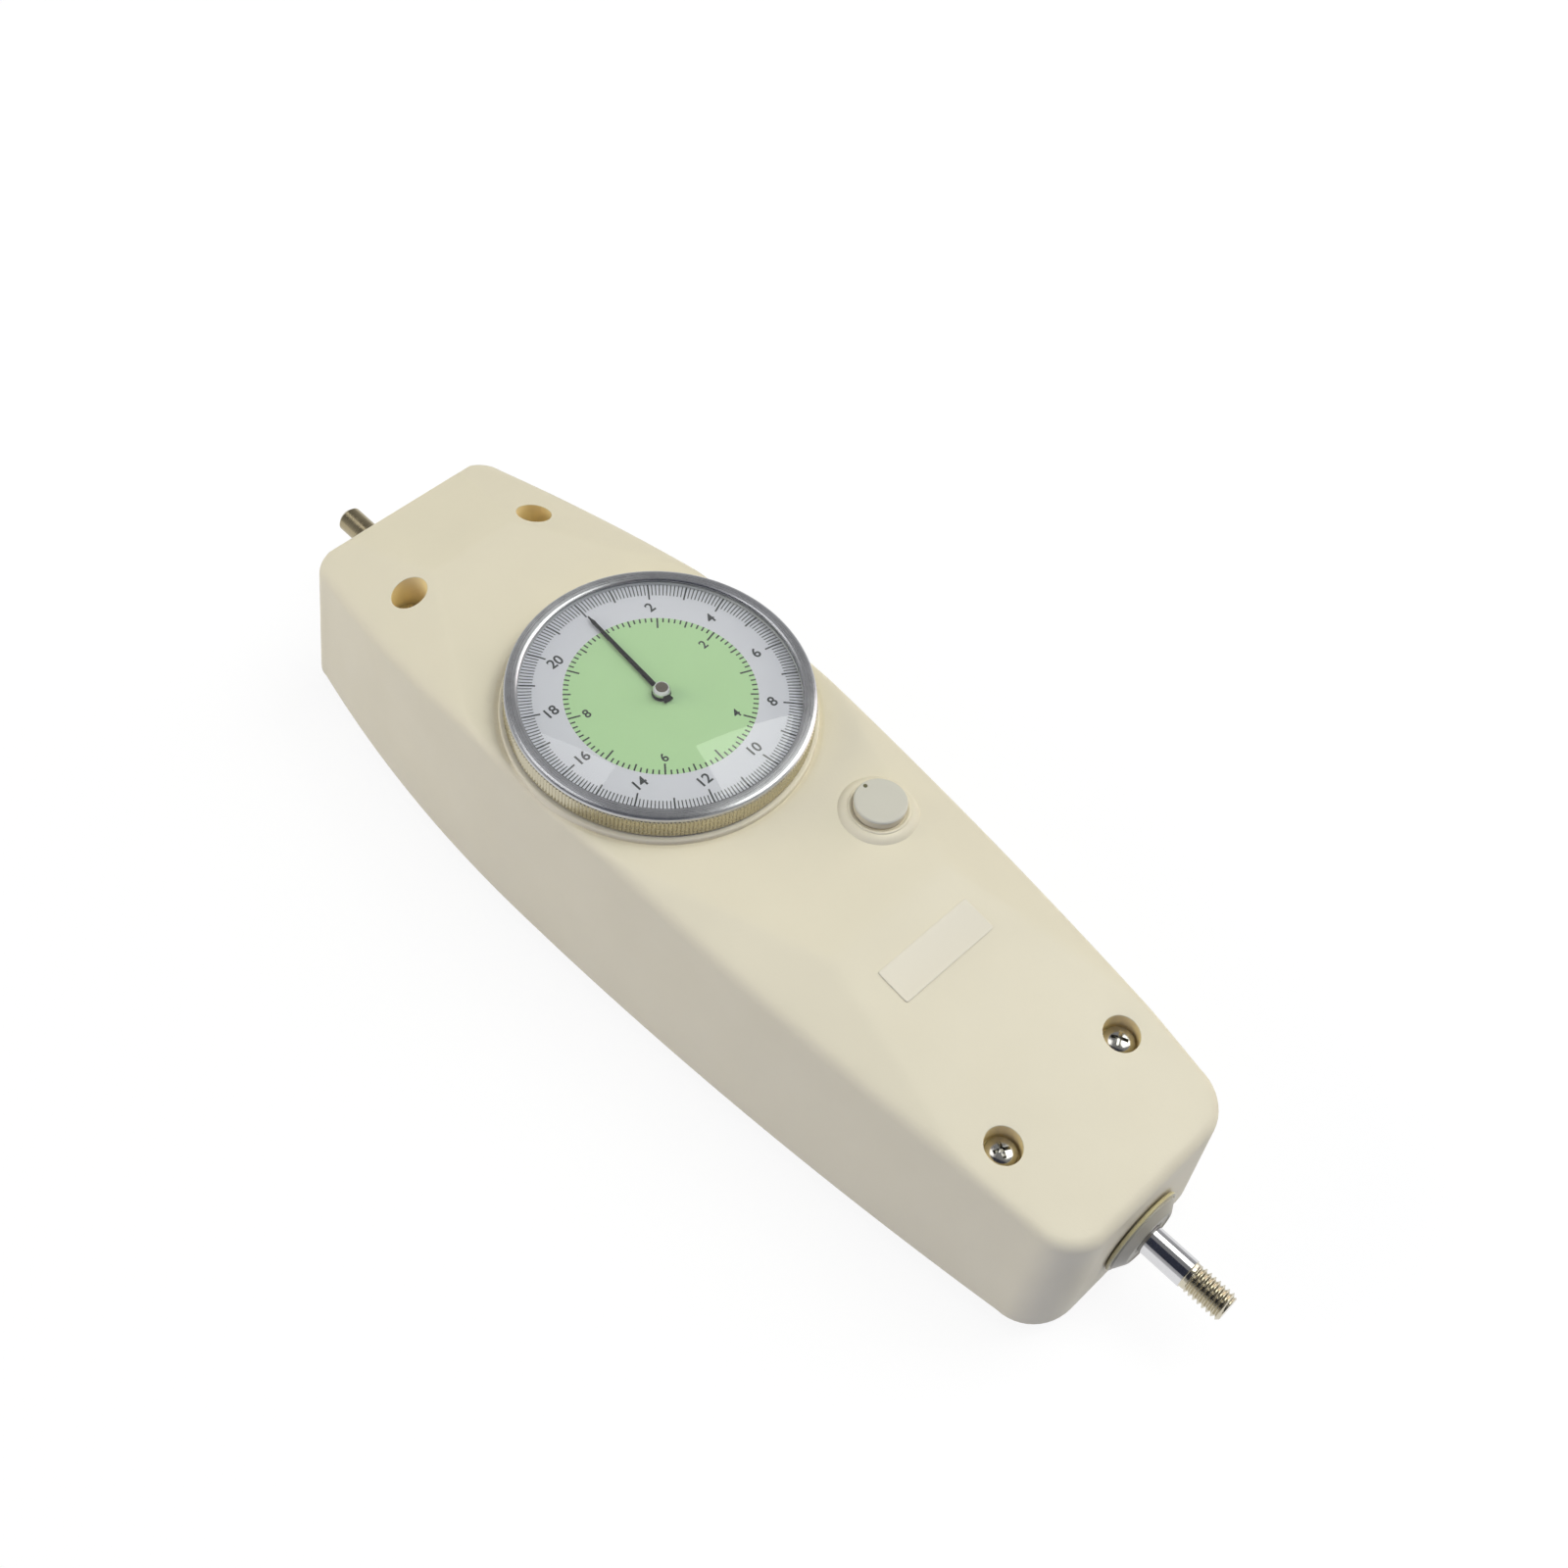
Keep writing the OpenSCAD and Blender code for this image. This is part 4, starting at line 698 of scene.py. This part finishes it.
def make_case():
    build = Build()
    outer = outline_ring(0)
    folds = [outline_ring(FOLD * (1 - math.cos(math.radians(a)))) for a in (12, 25, 38, 52, 68, 90)]
    cup = circle(0, 0, CUP_HOLE, CUP_SIDES)
    rings = [circle(0, 0, r, CUP_SIDES)
             for r in (27.52, 27.65, 29.4, 29.55, 29.68, 29.76, 29.8, 29.82, 29.95)]
    well = circle(*KNOB, WELL_R, KNOB_SIDES)
    bosses = [circle(*KNOB, WELL_R + d, KNOB_SIDES) for d in (
        0.03, 0.08, 0.16, 0.35, 0.45, 0.53, 0.58, 0.6, 0.75, 1.0, 1.3, 1.6, 1.85, 2.05, 2.2, 2.3)]
    bores = [circle(x, y, BORE_R, BORE_SIDES) for x, y in SCREWS]
    rims = [circle(x, y, BORE_R + d, BORE_SIDES)
            for x, y in SCREWS for d in (0.015, 0.05, 0.1, 0.16)]
    moat = [p for r in (30.2, 30.5, 30.9) for p in circle(0, 0, r, 150)]
    free = np.concatenate([hex_grid(2.1), ridge_points(), np.array(moat)])
    edge = edge_distance(outer, free)
    r = np.hypot(free[:, 0], free[:, 1])
    keep = (edge > FOLD * 1.06) & (r > RING_R + MOAT + 0.5)
    keep &= away(free, [KNOB], BOSS_R + BOSS_FLARE + 0.5)
    keep |= (edge > 0.12) & (r > RING_R + 0.3) & (r < RING_R + MOAT + 0.1)
    keep &= inside(outer, free) & away(free, SCREWS, BORE_R + 0.9)
    points, tris = plan_triangles(
        [outer] + folds + [cup] + rings + [well] + bosses + bores + rims, free[keep])
    mid = points[tris].mean(1)
    tris = tris[inside(outer, mid) & away(mid, [(0, 0)], CUP_HOLE)
                & away(mid, [KNOB], WELL_R * math.cos(math.pi / KNOB_SIDES))
                & away(mid, SCREWS, BORE_R * math.cos(math.pi / BORE_SIDES))]
    z = shell_z(points, edge_distance(outer, points))
    edge_z = z[nearest(points, outer)]
    build.add_plan(points, z, tris)

    # the sides, down to the parting line, and back up inside
    inner = outline_ring(WALL)
    inner_top = top_z(*np.array(inner).T) - WALL
    rows = [[(x, y, high + (PART_Z - high) * share)
             for (x, y, _), high in zip(flared(outer, share, 0), edge_z)]
            for share in (0, 0.04, 0.25, 0.5, 0.75, 0.985)]
    rows += [flared(outline_ring(0.06), 1, PART_Z + 0.12), flared(outline_ring(0.3), 1, PART_Z),
             flared(inner, 1, PART_Z), [(x, y, high) for (x, y), high in zip(inner, inner_top)]]
    build.add_rows(rows)

    # the underside of the top, and the hole for the dial cup
    coarse = hex_grid(7)
    coarse = coarse[inside(inner, coarse) & (edge_distance(inner, coarse) > 1.5)
                    & away(coarse, [(0, 0)], CUP_HOLE + 2) & away(coarse, SCREWS, 6)]
    sleeves = [circle(x, y, SLEEVE_R, SLEEVE_SIDES) for x, y in SCREWS]
    under, under_tris = plan_triangles([inner, cup] + sleeves, coarse)
    mid = under[under_tris].mean(1)
    under_tris = under_tris[inside(inner, mid) & away(mid, [(0, 0)], CUP_HOLE)
                            & away(mid, SCREWS, SLEEVE_R * math.cos(math.pi / SLEEVE_SIDES))]
    under_z = top_z(under[:, 0], under[:, 1]) - WALL
    build.add_plan(under, under_z, under_tris, flip=True)
    build.add_rows([[(x, y, high) for (x, y), high in zip(cup, heights)]
                    for heights in (z[nearest(points, cup)], under_z[nearest(under, cup)])])

    close_pocket(build, z[nearest(points, well)], well, WELL_FLOOR)
    for bore, sleeve in zip(bores, sleeves):
        # material 1 gives the bore's wall and seat the painted glow
        close_pocket(build, z[nearest(points, bore)], bore, SEAT_Z, 1)
        close_pocket(build, under_z[nearest(under, sleeve)], sleeve, SEAT_Z - 2)

    mesh = build.mesh("case_shell", [case_plastic, pocket_glow_plastic])
    piece = outward(add_object("case_shell", mesh), weld=True)
    for x in (FRONT, -BACK):
        tool = Build()
        lathe(tool, [(0, x - 5), (6.6, x - 5), (6.6, x + 5), (0, x + 5)], x_axis(AXIS_Z), 72)
        boolean(piece, loose(tool, "shaft_hole"))
    smooth(piece.data, SHELL_ANGLE)
    dress(piece, "case", ["front_case"])


def make_cover():
    build = Build()
    sunk = 0.18
    steps = [(4.3, 0), (3.9, 0.05), (3.55, 0.22), (3.3, 0.5), (2.6, 1.5), (1.5, 3.2), (0.72, 4.42),
             (0.62, 4.6), (0.85, 4.7)]
    rows = [flared(outline_ring(inset), 1, z) for inset, z in steps]
    build.add_rows(rows, flip=True)
    holes = [circle(x, y, STAND_R, STAND_SIDES) for x, y in STAND_HOLES]
    rims = [circle(x, y, STAND_R + 0.2, STAND_SIDES) for x, y in STAND_HOLES]
    for row, is_back in ((rows[0], True), (rows[-1], False)):
        edge = [(x, y) for x, y, _ in row]
        grid = hex_grid(8)
        grid = grid[inside(edge, grid) & (edge_distance(edge, grid) > 2)]
        points, tris = plan_triangles([edge] + (holes + rims if is_back else []), grid)
        mid = points[tris].mean(1)
        stay = inside(edge, mid)
        z = np.full(len(points), float(row[0][2]))
        if is_back:
            stay &= away(mid, STAND_HOLES, STAND_R * math.cos(math.pi / STAND_SIDES))
            z = np.where(away(points, STAND_HOLES, STAND_R + 0.08), z, sunk)
        build.add_plan(points, z, tris[stay], flip=is_back)
    for hole in holes:
        close_pocket(build, [sunk] * STAND_SIDES, hole, 3.9)
    piece = build.make("cover_shell", [cover_plastic], "case", ["back_cover"])
    smooth(outward(piece, weld=True).data, SHELL_ANGLE)


make_case()
make_cover()

# Bezel, crystal and dial

DIAL_Z = 47.7
ZERO = math.radians(175.19)  # where the scales begin, and the pointer at rest


def make_bezel():
    ribs, rib_depth, side_r, low, high = 240, 0.24, 29.0, 44.3, 48.5
    outline = [
        (27.1, low), (28.8, low), (side_r, 44.5), (side_r, 48.35), (28.8, high), (28.74, 48.6),
        (28.8, 48.72), (28.8, 49.15), (28.55, 49.42), (28.15, 49.56), (27.5, 49.58),
        (26.85, 49.56), (26.6, 49.48), (26.38, 49.34), (26.3, 49.15), (27.05, 49.15),
        (27.05, 47.1), (27.1, 47.0),
    ]
    radii = [0, 0.1, 0.1, 0.08, 0.05, 0.05, 0.05, 0.2, 0.5, 0.6, 2, 0.3, 0.15, 0.05, 0, 0, 0, 0]
    profile = []
    for r, h in fillet(outline, radii, closed=True):
        if profile and min(r, profile[-1][0]) > side_r - 0.02 and h - profile[-1][1] > 2:
            start = profile[-1][1]
            profile += [(side_r, start + (h - start) * t) for t in (0.03, 0.25, 0.5, 0.75, 0.97)]
        profile.append((r, h))

    def knurl(r, h, a):
        if r < 28.75 or h > high - 0.05:
            return r
        fade = max(0, min(1, (high - h) / 0.2, (h - low) / 0.25))
        wave = 0.5 - 0.5 * math.cos(a * ribs)
        return r - rib_depth * fade * (1 - wave ** 0.7)

    build = Build()
    # material 1, on the knurled side, carries the painted beige reflection
    lathe(build, profile, z_axis(), ribs * 4, closed=True, radius=knurl,
          mat=lambda r, h: 1 if r > 28.5 and h < high + 0.05 else 0)
    outward(build.make("bezel_ring", [bezel_polish, bezel_knurl_reflection_tint], "bezel", ["bezel"],
                       angle=50))


def make_crystal():
    outer_r, edge_r, edge_z, edge_thick, rise, glass = 26.88, 25.56, 48.62, 0.48, 2.8, 0.9
    sphere = (edge_r ** 2 + rise ** 2) / (2 * rise)
    under = edge_z + edge_thick + rise - glass
    steps = 26
    radii = [edge_r * i / steps for i in range(1, steps + 1)]

    def dome(r):
        return math.sqrt(sphere ** 2 - r * r) - sphere + rise

    profile = [(0, under)] + [(r, max(edge_z, under - rise + dome(r))) for r in radii]
    profile += [(outer_r, edge_z), (outer_r, edge_z + edge_thick)]
    profile += [(r, edge_z + dome(r) + edge_thick) for r in reversed(radii)]
    profile.append((0, edge_z + rise + edge_thick))
    build = Build()
    lathe(build, profile, z_axis(), 144)
    piece = build.make("crystal_lens", [crystal_clear], "bezel", ["crystal"],
                       angle=25)
    piece.visible_shadow = False
    outward(piece)


def bar(build, a, r0, r1, width):
    """A printed tick along a radius."""
    corners = ((r0, -width / 2), (r1, -width / 2), (r1, width / 2), (r0, width / 2))
    build.add([(*spin(r, w, a), z) for z in (DIAL_Z - 0.01, DIAL_Z + 0.03) for r, w in corners],
              BOX_FACES)


def digits(build, word, a, r, size):
    """A printed number at an angle and radius, upright when the case's back end is up."""
    curve = bpy.data.curves.new("digits", "FONT")
    curve.body = word
    curve.size = size
    curve.align_x = "CENTER"
    curve.align_y = "CENTER"
    curve.extrude = 0.01
    curve.offset = 0.018 * size
    curve.resolution_u = 6
    text = add_object("digits", curve)
    graph = bpy.context.evaluated_depsgraph_get()
    mesh = bpy.data.meshes.new_from_object(text.evaluated_get(graph))
    x, y, z = r * math.cos(a), r * math.sin(a), DIAL_Z + 0.02
    build.add([(x - v.co.y, y + v.co.x, z + v.co.z) for v in mesh.vertices],
              [list(p.vertices) for p in mesh.polygons])
    bpy.data.objects.remove(text)
    bpy.data.meshes.remove(mesh)


# For each scale: number of ticks, their outer radius, and what every so many of them get as inner
# radius and width, the rarest first; then the last number, and the numbers' radius and size.
SCALES = (
    (220, 26.5, ((20, 22.5, 0.32), (10, 23.0, 0.32), (1, 23.55, 0.19)), 22, 20.55, 3.0),
    (100, 18.0, ((10, 15.6, 0.34), (5, 16.5, 0.32), (1, 17.0, 0.3)), 10, 14.35, 2.6),
)


def make_dial():
    plate = Build()
    outline = [(1.6, 47.2), (26.88, 47.2), (26.88, DIAL_Z), (1.6, DIAL_Z)]
    profile = fillet(outline, [0, 0.05, 0.05, 0.05], closed=True, steps=2)
    lathe(plate, profile, z_axis(), CUP_SIDES, closed=True)
    outward(plate.make("dial_face", [dial_white], "bezel", ["dial_plate"]))
    disc = Build()
    low, high = DIAL_Z - 0.02, DIAL_Z + 0.015
    profile = [(1.7, low), (18.0, low), (18.0, high), (1.7, high)]
    lathe(disc, profile, z_axis(), CUP_SIDES, closed=True)
    outward(disc.make("dial_green", [dial_green], "bezel"))
    ink = Build()
    for ticks, outer_r, kinds, last, number_r, size in SCALES:
        for i in range(ticks):
            inner_r, width = next(kind[1:] for kind in kinds if i % kind[0] == 0)
            bar(ink, ZERO - 2 * math.pi * i / ticks, inner_r, outer_r, width)
        for number in range(2, last, 2):
            digits(ink, str(number), ZERO - 2 * math.pi * number / last, number_r, size)
    outward(ink.make("dial_ink", [ink_black], "bezel"))


def make_pointer():
    z0, z1 = 48.2, 48.5
    half = [(22.0, 0.0), (21.95, 0.12), (21.2, 0.15), (20.46, 0.375), (19.7, 0.33), (1.73, 0.49)]
    half += [(1.8 * math.cos(a), 1.8 * math.sin(a)) for a in np.linspace(0.36, 2.6, 14)]
    half += [(-1.62, 0.83), (-2.28, 0.97), (-2.4, 0.85), (-2.4, 0.4)]
    ring = half + [(x, -y) for x, y in reversed(half[1:])]
    mesh = bpy.data.meshes.new("pointer_needle")
    bm = bmesh.new()
    face = bm.faces.new([bm.verts.new((x * MM, y * MM, z0 * MM)) for x, y in ring])
    for v in bmesh.ops.extrude_face_region(bm, geom=[face])["geom"]:
        if isinstance(v, bmesh.types.BMVert):
            v.co.z = z1 * MM
    bmesh.ops.recalc_face_normals(bm, faces=bm.faces)
    edges = [e for e in bm.edges if all(v.co.z > (z1 - 0.01) * MM for v in e.verts)
             and any(abs(f.normal.z) < 0.5 for f in e.link_faces)]
    bmesh.ops.bevel(bm, geom=edges, offset=0.05 * MM, segments=2, affect="EDGES",
                    clamp_overlap=True)
    bmesh.ops.triangulate(bm, faces=[f for f in bm.faces if len(f.verts) > 4])
    bmesh.ops.rotate(bm, verts=bm.verts, matrix=Matrix.Rotation(ZERO, 3, "Z"))
    bm.to_mesh(mesh)
    bm.free()
    mesh.materials.append(needle_black)
    smooth(mesh, 30)
    dress(add_object("pointer_needle", mesh), "pointer", ["pointer"])
    hub = Build()
    outline = [(0, 48.55), (1.5, 48.55), (1.7, 48.72), (1.7, 49.35), (1.35, 49.86), (1.2, 49.88),
               (1.12, 49.8), (0, 49.84)]
    profile = fillet(outline, [0, 0.05, 0.1, 0.12, 0.1, 0.03, 0.03, 0], steps=3)
    lathe(hub, profile, z_axis(), 64, mat=lambda r, h: 1 if r < 1.18 and h > 49 else 0)
    outward(hub.make("pointer_cap", [hub_rim, hub_top_metal], "pointer", ["pointer_hub"]))


make_bezel()
make_crystal()
make_dial()
make_pointer()

# Knob and screws


def make_knob():
    skirt = Build()
    outline = [(0, 44.36), (4.75, 44.36), (4.9, 44.5), (4.92, 45.9), (4.7, 46.0), (0, 46.0)]
    lathe(skirt, fillet(outline, [0, 0.1, 0.15, 0.1, 0.05, 0], steps=3), z_axis(*KNOB))
    outward(skirt.make("knob_skirt", [skirt_plastic], "knob", ["knob"]))
    cap = Build()
    outline = [(0, 46.02), (4.75, 46.02), (5.0, 46.08), (5.0, 46.34), (4.74, 46.57), (4.3, 46.57),
               (0, 46.54)]
    lathe(cap, fillet(outline, [0, 0.05, 0.08, 0.18, 0.2, 0.3, 0]), z_axis(*KNOB))
    spot = Build()
    lathe(spot, [(0, 46.5), (0.42, 46.5), (0.42, 46.575), (0.36, 46.595), (0, 46.595)],
          z_axis(KNOB[0] - 4.1, KNOB[1] + 0.2), 32)
    cap.add(spot.verts, spot.faces, 1)
    outward(cap.make("knob_top", [cap_plastic, dot_paint], "knob", ["knob_cap"]))


make_knob()


def make_screws():
    head = Build()
    head_r, shank_r = 3.05, 1.5
    dome = [(head_r * math.sin(a), SEAT_Z + 1.55 + 1.35 * math.cos(a))
            for a in np.linspace(0.12, 1.5, 9)]
    profile = [(0, SEAT_Z + 2.9)] + dome + [
        (head_r, SEAT_Z + 1.45), (head_r, SEAT_Z + 0.15), (2.9, SEAT_Z + 0.03),
        (shank_r, SEAT_Z + 0.03), (shank_r, 5.5), (1.1, 5.1), (0, 5.1)]
    lathe(head, profile, z_axis(), 64)
    piece = loose(head, "screw_blank")
    for turn in (0, math.pi / 2):
        tool = Build()
        tool.add([(*spin(x, y, turn), z)
                  for z, l, w in ((SEAT_Z + 1.5, 0.7, 0.22), (SEAT_Z + 3.1, 1.9, 0.38))
                  for x, y in ((-l, -w), (l, -w), (l, w), (-l, w))], BOX_FACES)
        boolean(piece, loose(tool, "cross_tool"))
    blank = [tuple(c / MM for c in v.co) for v in piece.data.vertices]
    faces = [list(p.vertices) for p in piece.data.polygons]
    bpy.data.objects.remove(piece)
    screws = Build()
    for (x, y), turn in zip(SCREWS, (0.5, 1.1, 0.2, 0.9)):
        turned = [(*spin(a, b, turn), c) for a, b, c in blank]
        screws.add([(x + a, y + b, c) for a, b, c in turned], faces)
    screws.make("cross_screws", [screw_nickel], "case", ["case_screws"], angle=28)


make_screws()

# Rod, collars and label


def make_rod():
    r_major, r_minor, pitch, neck_r, stub_r = 2.9, 2.32, 1.0, 2.65, 2.74
    thread_from, tip, tail, step = 136.6, 144.58, -94.28, 0.05
    rows = [(0, tail), (2.04, tail), (stub_r, tail + 0.7)]
    rows += [(stub_r, x) for x in np.linspace(tail + 1.2, -77.9, 12)]
    rows += [(r_major, -77.75)] + [(r_major, x) for x in np.linspace(-70, 135.4, 30)]
    rows += [(r_major, 135.7), (2.72, 135.82), (neck_r, 135.95), (neck_r, 136.5)]
    count = int((tip - thread_from) / step)
    rows += [(r_major, thread_from + i * step) for i in range(count + 1)] + [(0, tip)]

    def wall(r, h, a):
        if h < thread_from - 0.01:
            return r
        phase = (h / pitch - a / (2 * math.pi)) % 1.0
        tooth = abs(phase - 0.5) * 2
        depth = min(1, max(0, (tooth - 0.12) / 0.76))
        start = min(1, max(0, (h - thread_from) / 0.5))
        out = r_minor + (r_major - r_minor) * (1 - depth)
        out = neck_r * (1 - start) + out * start
        return min(out, r_major - max(0, h - (tip - 0.65)) * 0.95)

    build = Build()
    lathe(build, rows, x_axis(AXIS_Z), 60, radius=wall,
          mat=lambda r, h: 1 if h < -77.8 else (2 if h > 135.75 else 0))
    materials = [chrome, stub_steel, thread_steel]
    outward(build.make("rod_body", materials, "rod", ["main_rod"], angle=40))


def make_collars():
    front = Build()
    x = 124.5
    outline = [
        (3.0, x - 4), (6.48, x - 4), (6.48, x), (8.8, x), (9.0, x + 0.2), (9.0, x + 0.55),
        (8.85, x + 0.7), (8.45, x + 0.7), (8.3, x + 0.58), (8.2, x + 0.7), (8.2, x + 1.0),
        (8.0, x + 1.12), (6.35, x + 2.1), (6.0, x + 2.27), (5.6, x + 2.27), (5.45, x + 2.1),
        (3.6, x + 2.1), (3.4, x + 1.9), (3.0, x + 1.85),
    ]
    radii = [0, 0, 0.05, 0.1, 0.1, 0.1, 0.1, 0.05, 0.05, 0.05, 0.08, 0.1, 0.25, 0.15, 0.1, 0.1, 0.1,
             0.1, 0]
    # the flange rim gets the olive painted light, and the cone gets the grey painted shade
    lathe(front, fillet(outline, radii, closed=True, steps=3), x_axis(AXIS_Z), closed=True,
          mat=lambda r, h: 0 if h < x + 0.69 and r > 6.6 else 1)
    outward(front.make("front_collar", [collar_rim_lit_plastic, collar_shade_plastic], "case",
                       ["front_bush"]))
    rear = Build()
    x = -76.5
    outline = [
        (3.0, x + 4), (6.48, x + 4), (6.48, x), (7.45, x), (7.6, x - 0.15), (7.45, x - 0.35),
        (6.2, x - 0.95), (5.9, x - 1.0), (3.5, x - 1.0), (3.3, x - 0.8), (3.0, x - 0.8),
    ]
    radii = [0, 0, 0.05, 0.08, 0.12, 0.1, 0.25, 0.1, 0.1, 0.08, 0]
    # the rear collar is grey as painted shade
    lathe(rear, fillet(outline, radii, closed=True, steps=3), x_axis(AXIS_Z), closed=True)
    outward(rear.make("rear_collar", [collar_shade_plastic], "case", ["rear_bush"]))


make_rod()
make_collars()


def make_label():
    """The bare label on the front ramp: a thin film with rounded corners and a raised edge."""
    cx, cy, half_w, half_l, thick, corner = 69.4, 1.3, 3.7, 11.4, 0.2, 0.5
    lift = PLATEAU - FRONT_SLOPE * (cx - RIDGE_F) + 0.05
    slope = math.atan(FRONT_SLOPE)
    ca, sa = math.cos(slope), math.sin(slope)

    def ring(inset, z):
        out = []
        r = max(corner - inset, 0.05)
        for sx, sy, start in ((1, 1, 0), (-1, 1, 90), (-1, -1, 180), (1, -1, 270)):
            for k in range(6):
                a = math.radians(start + 18 * k)
                x = sx * (half_w - inset - r) + r * math.cos(a)
                y = sy * (half_l - inset - r) + r * math.sin(a)
                out.append((cx + x * ca + z * sa, cy + y, lift - x * sa + z * ca))
        return out

    steps = ((0, 0), (0, 0.7), (0.08, 0.95), (0.3, 1), (0.45, 0.8))
    build = Build()
    build.add_rows([ring(inset, thick * share) for inset, share in steps], ends=True)
    outward(build.make("label_blank", [label_film], "case", ["label_plate"]))


make_label()

# Stage, light and camera

FLOOR_GLOW = 0.78  # the share of the floor that glows, for rays that see it
FLOOR_LEVELS, FLOOR_REACH = (1.13, 1.285), (0.2, 2.0)  # its glow near and far, and how far that is
SKY_LEVEL = (0.03, 0.03, 0.033)
SKY_LOBE = (0.25, 0.30, 0.66)  # towards -Y
SURROUND = ((0.0, 0.62), (0.12, 0.5), (0.4, 0.38), (0.75, 0.26), (1.0, 0.24))
CENTRE = (0.025, 0, 0.03)  # what the lights and cards face


def rectangle(name, x, y):
    """A flat piece from -x to x and -y to y, with a new material's node tree."""
    mesh = bpy.data.meshes.new(name)
    mesh.from_pydata([(-x, -y, 0), (x, -y, 0), (x, y, 0), (-x, y, 0)], [], [[0, 1, 2, 3]])
    mesh.materials.append(bpy.data.materials.new(name))
    mesh.materials[0].use_nodes = True
    return add_object(name, mesh), mesh.materials[0].node_tree


def make_stage():
    """A white floor that glows for the rays that see it, and still takes the part's shadow."""
    floor, tree = rectangle("floor", 4.0, 4.0)
    tree.nodes.clear()
    t = Tree(tree)
    matt = t.put(t.node("BsdfDiffuse"), Color=(0.6, 0.6, 0.6, 1))
    reach = t.node("VectorMath", operation="LENGTH")
    t.link(t.node("TexCoord").outputs["Object"], reach.inputs[0])
    level = t.spread(reach.outputs["Value"], *FLOOR_LEVELS, *FLOOR_REACH)
    glow = t.put(t.node("Emission"), Strength=level)
    ray = t.node("LightPath").outputs
    seen = t.math("MAXIMUM", ray["Is Camera Ray"], ray["Is Glossy Ray"])
    seen = t.math("MAXIMUM", seen, ray["Is Transmission Ray"])
    mix = t.mix_shaders(t.math("MULTIPLY", seen, FLOOR_GLOW), matt.outputs[0], glow.outputs[0])
    t.link(mix, t.node("OutputMaterial").inputs["Surface"])


def make_world():
    """Diffuse rays see a level and a lobe, glossy rays a pale surround, the camera plain white."""
    world = bpy.data.worlds.new("studio")
    bpy.context.scene.world = world
    world.use_nodes = True
    world.node_tree.nodes.clear()
    t = Tree(world.node_tree)

    def background(colour):
        made = t.node("Background")
        t.feed(made.inputs, (colour,))
        return made.outputs[0]

    parts = t.node("SeparateXYZ")
    t.link(t.node("TexCoord").outputs["Generated"], parts.inputs[0])
    lobe = t.node("VectorMath", operation="SCALE")
    lobe.inputs[0].default_value = SKY_LOBE
    share = t.math("MAXIMUM", t.math("MULTIPLY", parts.outputs["Y"], -1.0), 0.0)
    t.link(share, lobe.inputs["Scale"])
    sky = t.node("VectorMath", operation="ADD")
    t.feed(sky.inputs, (SKY_LEVEL, lobe.outputs[0]))
    ramp = t.node("ValToRGB")
    elements = ramp.color_ramp.elements
    while len(elements) < len(SURROUND):
        elements.new(0.5)
    for element, (at, level) in zip(elements, SURROUND):
        element.position = at
        element.color = (level, level, level * 1.01, 1)
    t.link(parts.outputs["Z"], ramp.inputs[0])
    ray = t.node("LightPath").outputs
    lit = background(sky.outputs[0])
    lit = t.mix_shaders(ray["Is Glossy Ray"], lit, background(ramp.outputs[0]))
    unlit = t.math("LESS_THAN", ray["Diffuse Depth"], 0.5)
    through = t.math("MULTIPLY", ray["Is Transmission Ray"], unlit)
    plain = t.math("MAXIMUM", ray["Is Camera Ray"], through)
    seen = t.mix_shaders(plain, lit, background((1, 1, 1, 1)))
    t.link(seen, t.node("OutputWorld").inputs["Surface"])


def face_centre(thing, place):
    """Turns a light or card to the part, and hides it from rays that pass the crystal."""
    thing.location = place
    thing.rotation_euler = (Vector(CENTRE) - Vector(place)).to_track_quat("-Z", "Y").to_euler()
    thing.visible_transmission = False


def area_light(name, place, size_x, size_y, power, colour, glossy=True):
    data = bpy.data.lights.new(name, "AREA")
    data.shape = "RECTANGLE"
    data.size, data.size_y = size_x, size_y
    data.energy = power
    data.color = colour
    light = add_object(name, data)
    light.visible_glossy = glossy
    face_centre(light, place)


def card(name, place, size_x, size_y, colour, glow=0.0):
    """A card that only reflections see, as a studio sets beside shiny metal."""
    piece, tree = rectangle(name, size_x / 2, size_y / 2)
    Tree(tree).put(tree.nodes["Principled BSDF"], Base_Color=(*colour, 1), Roughness=0.9,
                   Emission_Color=(1, 1, 1, 1), Emission_Strength=glow)
    face_centre(piece, place)
    piece.visible_camera = False
    piece.visible_shadow = False
    piece.visible_diffuse = False


make_stage()
make_world()
area_light("key_light", (0.31, 0.96, 1.5), 1.1, 1.04, 10.6, (0.98, 1, 0.95))
area_light("soft_light", (0.27, 0.27, 1.76), 1.4, 1.4, 16.5, (0.98, 1, 0.92), glossy=False)
area_light("left_light", (0.651, 1.582, 0.558), 1.2, 1.2, 8.8, (1, 0.9, 0.88))
area_light("right_light", (-1.118, -1.262, 0.631), 1.2, 1.2, 16, (1, 0.95, 0.68), glossy=False)
card("card_top", (-0.556, -0.172, 1.215), 0.555, 0.555, (0.8, 0.8, 0.8), 1.5)
card("card_dark", (0.35, -0.946, 1.352), 2.6, 1.68, (0.03, 0.035, 0.06))


def make_camera():
    data = bpy.data.cameras.new("photo_camera")
    data.lens = 49.5
    data.sensor_width = 36
    data.clip_start = 0.01
    data.clip_end = 20
    camera = add_object("photo_camera", data)
    right = Vector((0.706, 0.702, 0.095)).normalized()
    forward = Vector((-0.352, 0.463, -0.813)).normalized()
    right = (right - forward * right.dot(forward)).normalized()
    up = right.cross(forward).normalized()
    turn = Matrix((right, up, -forward)).transposed().to_4x4()
    camera.matrix_world = Matrix.Translation((0.1657, -0.1767, 0.3632)) @ turn
    bpy.context.scene.camera = camera


make_camera()
bpy.context.scene.view_settings.view_transform = "Standard"
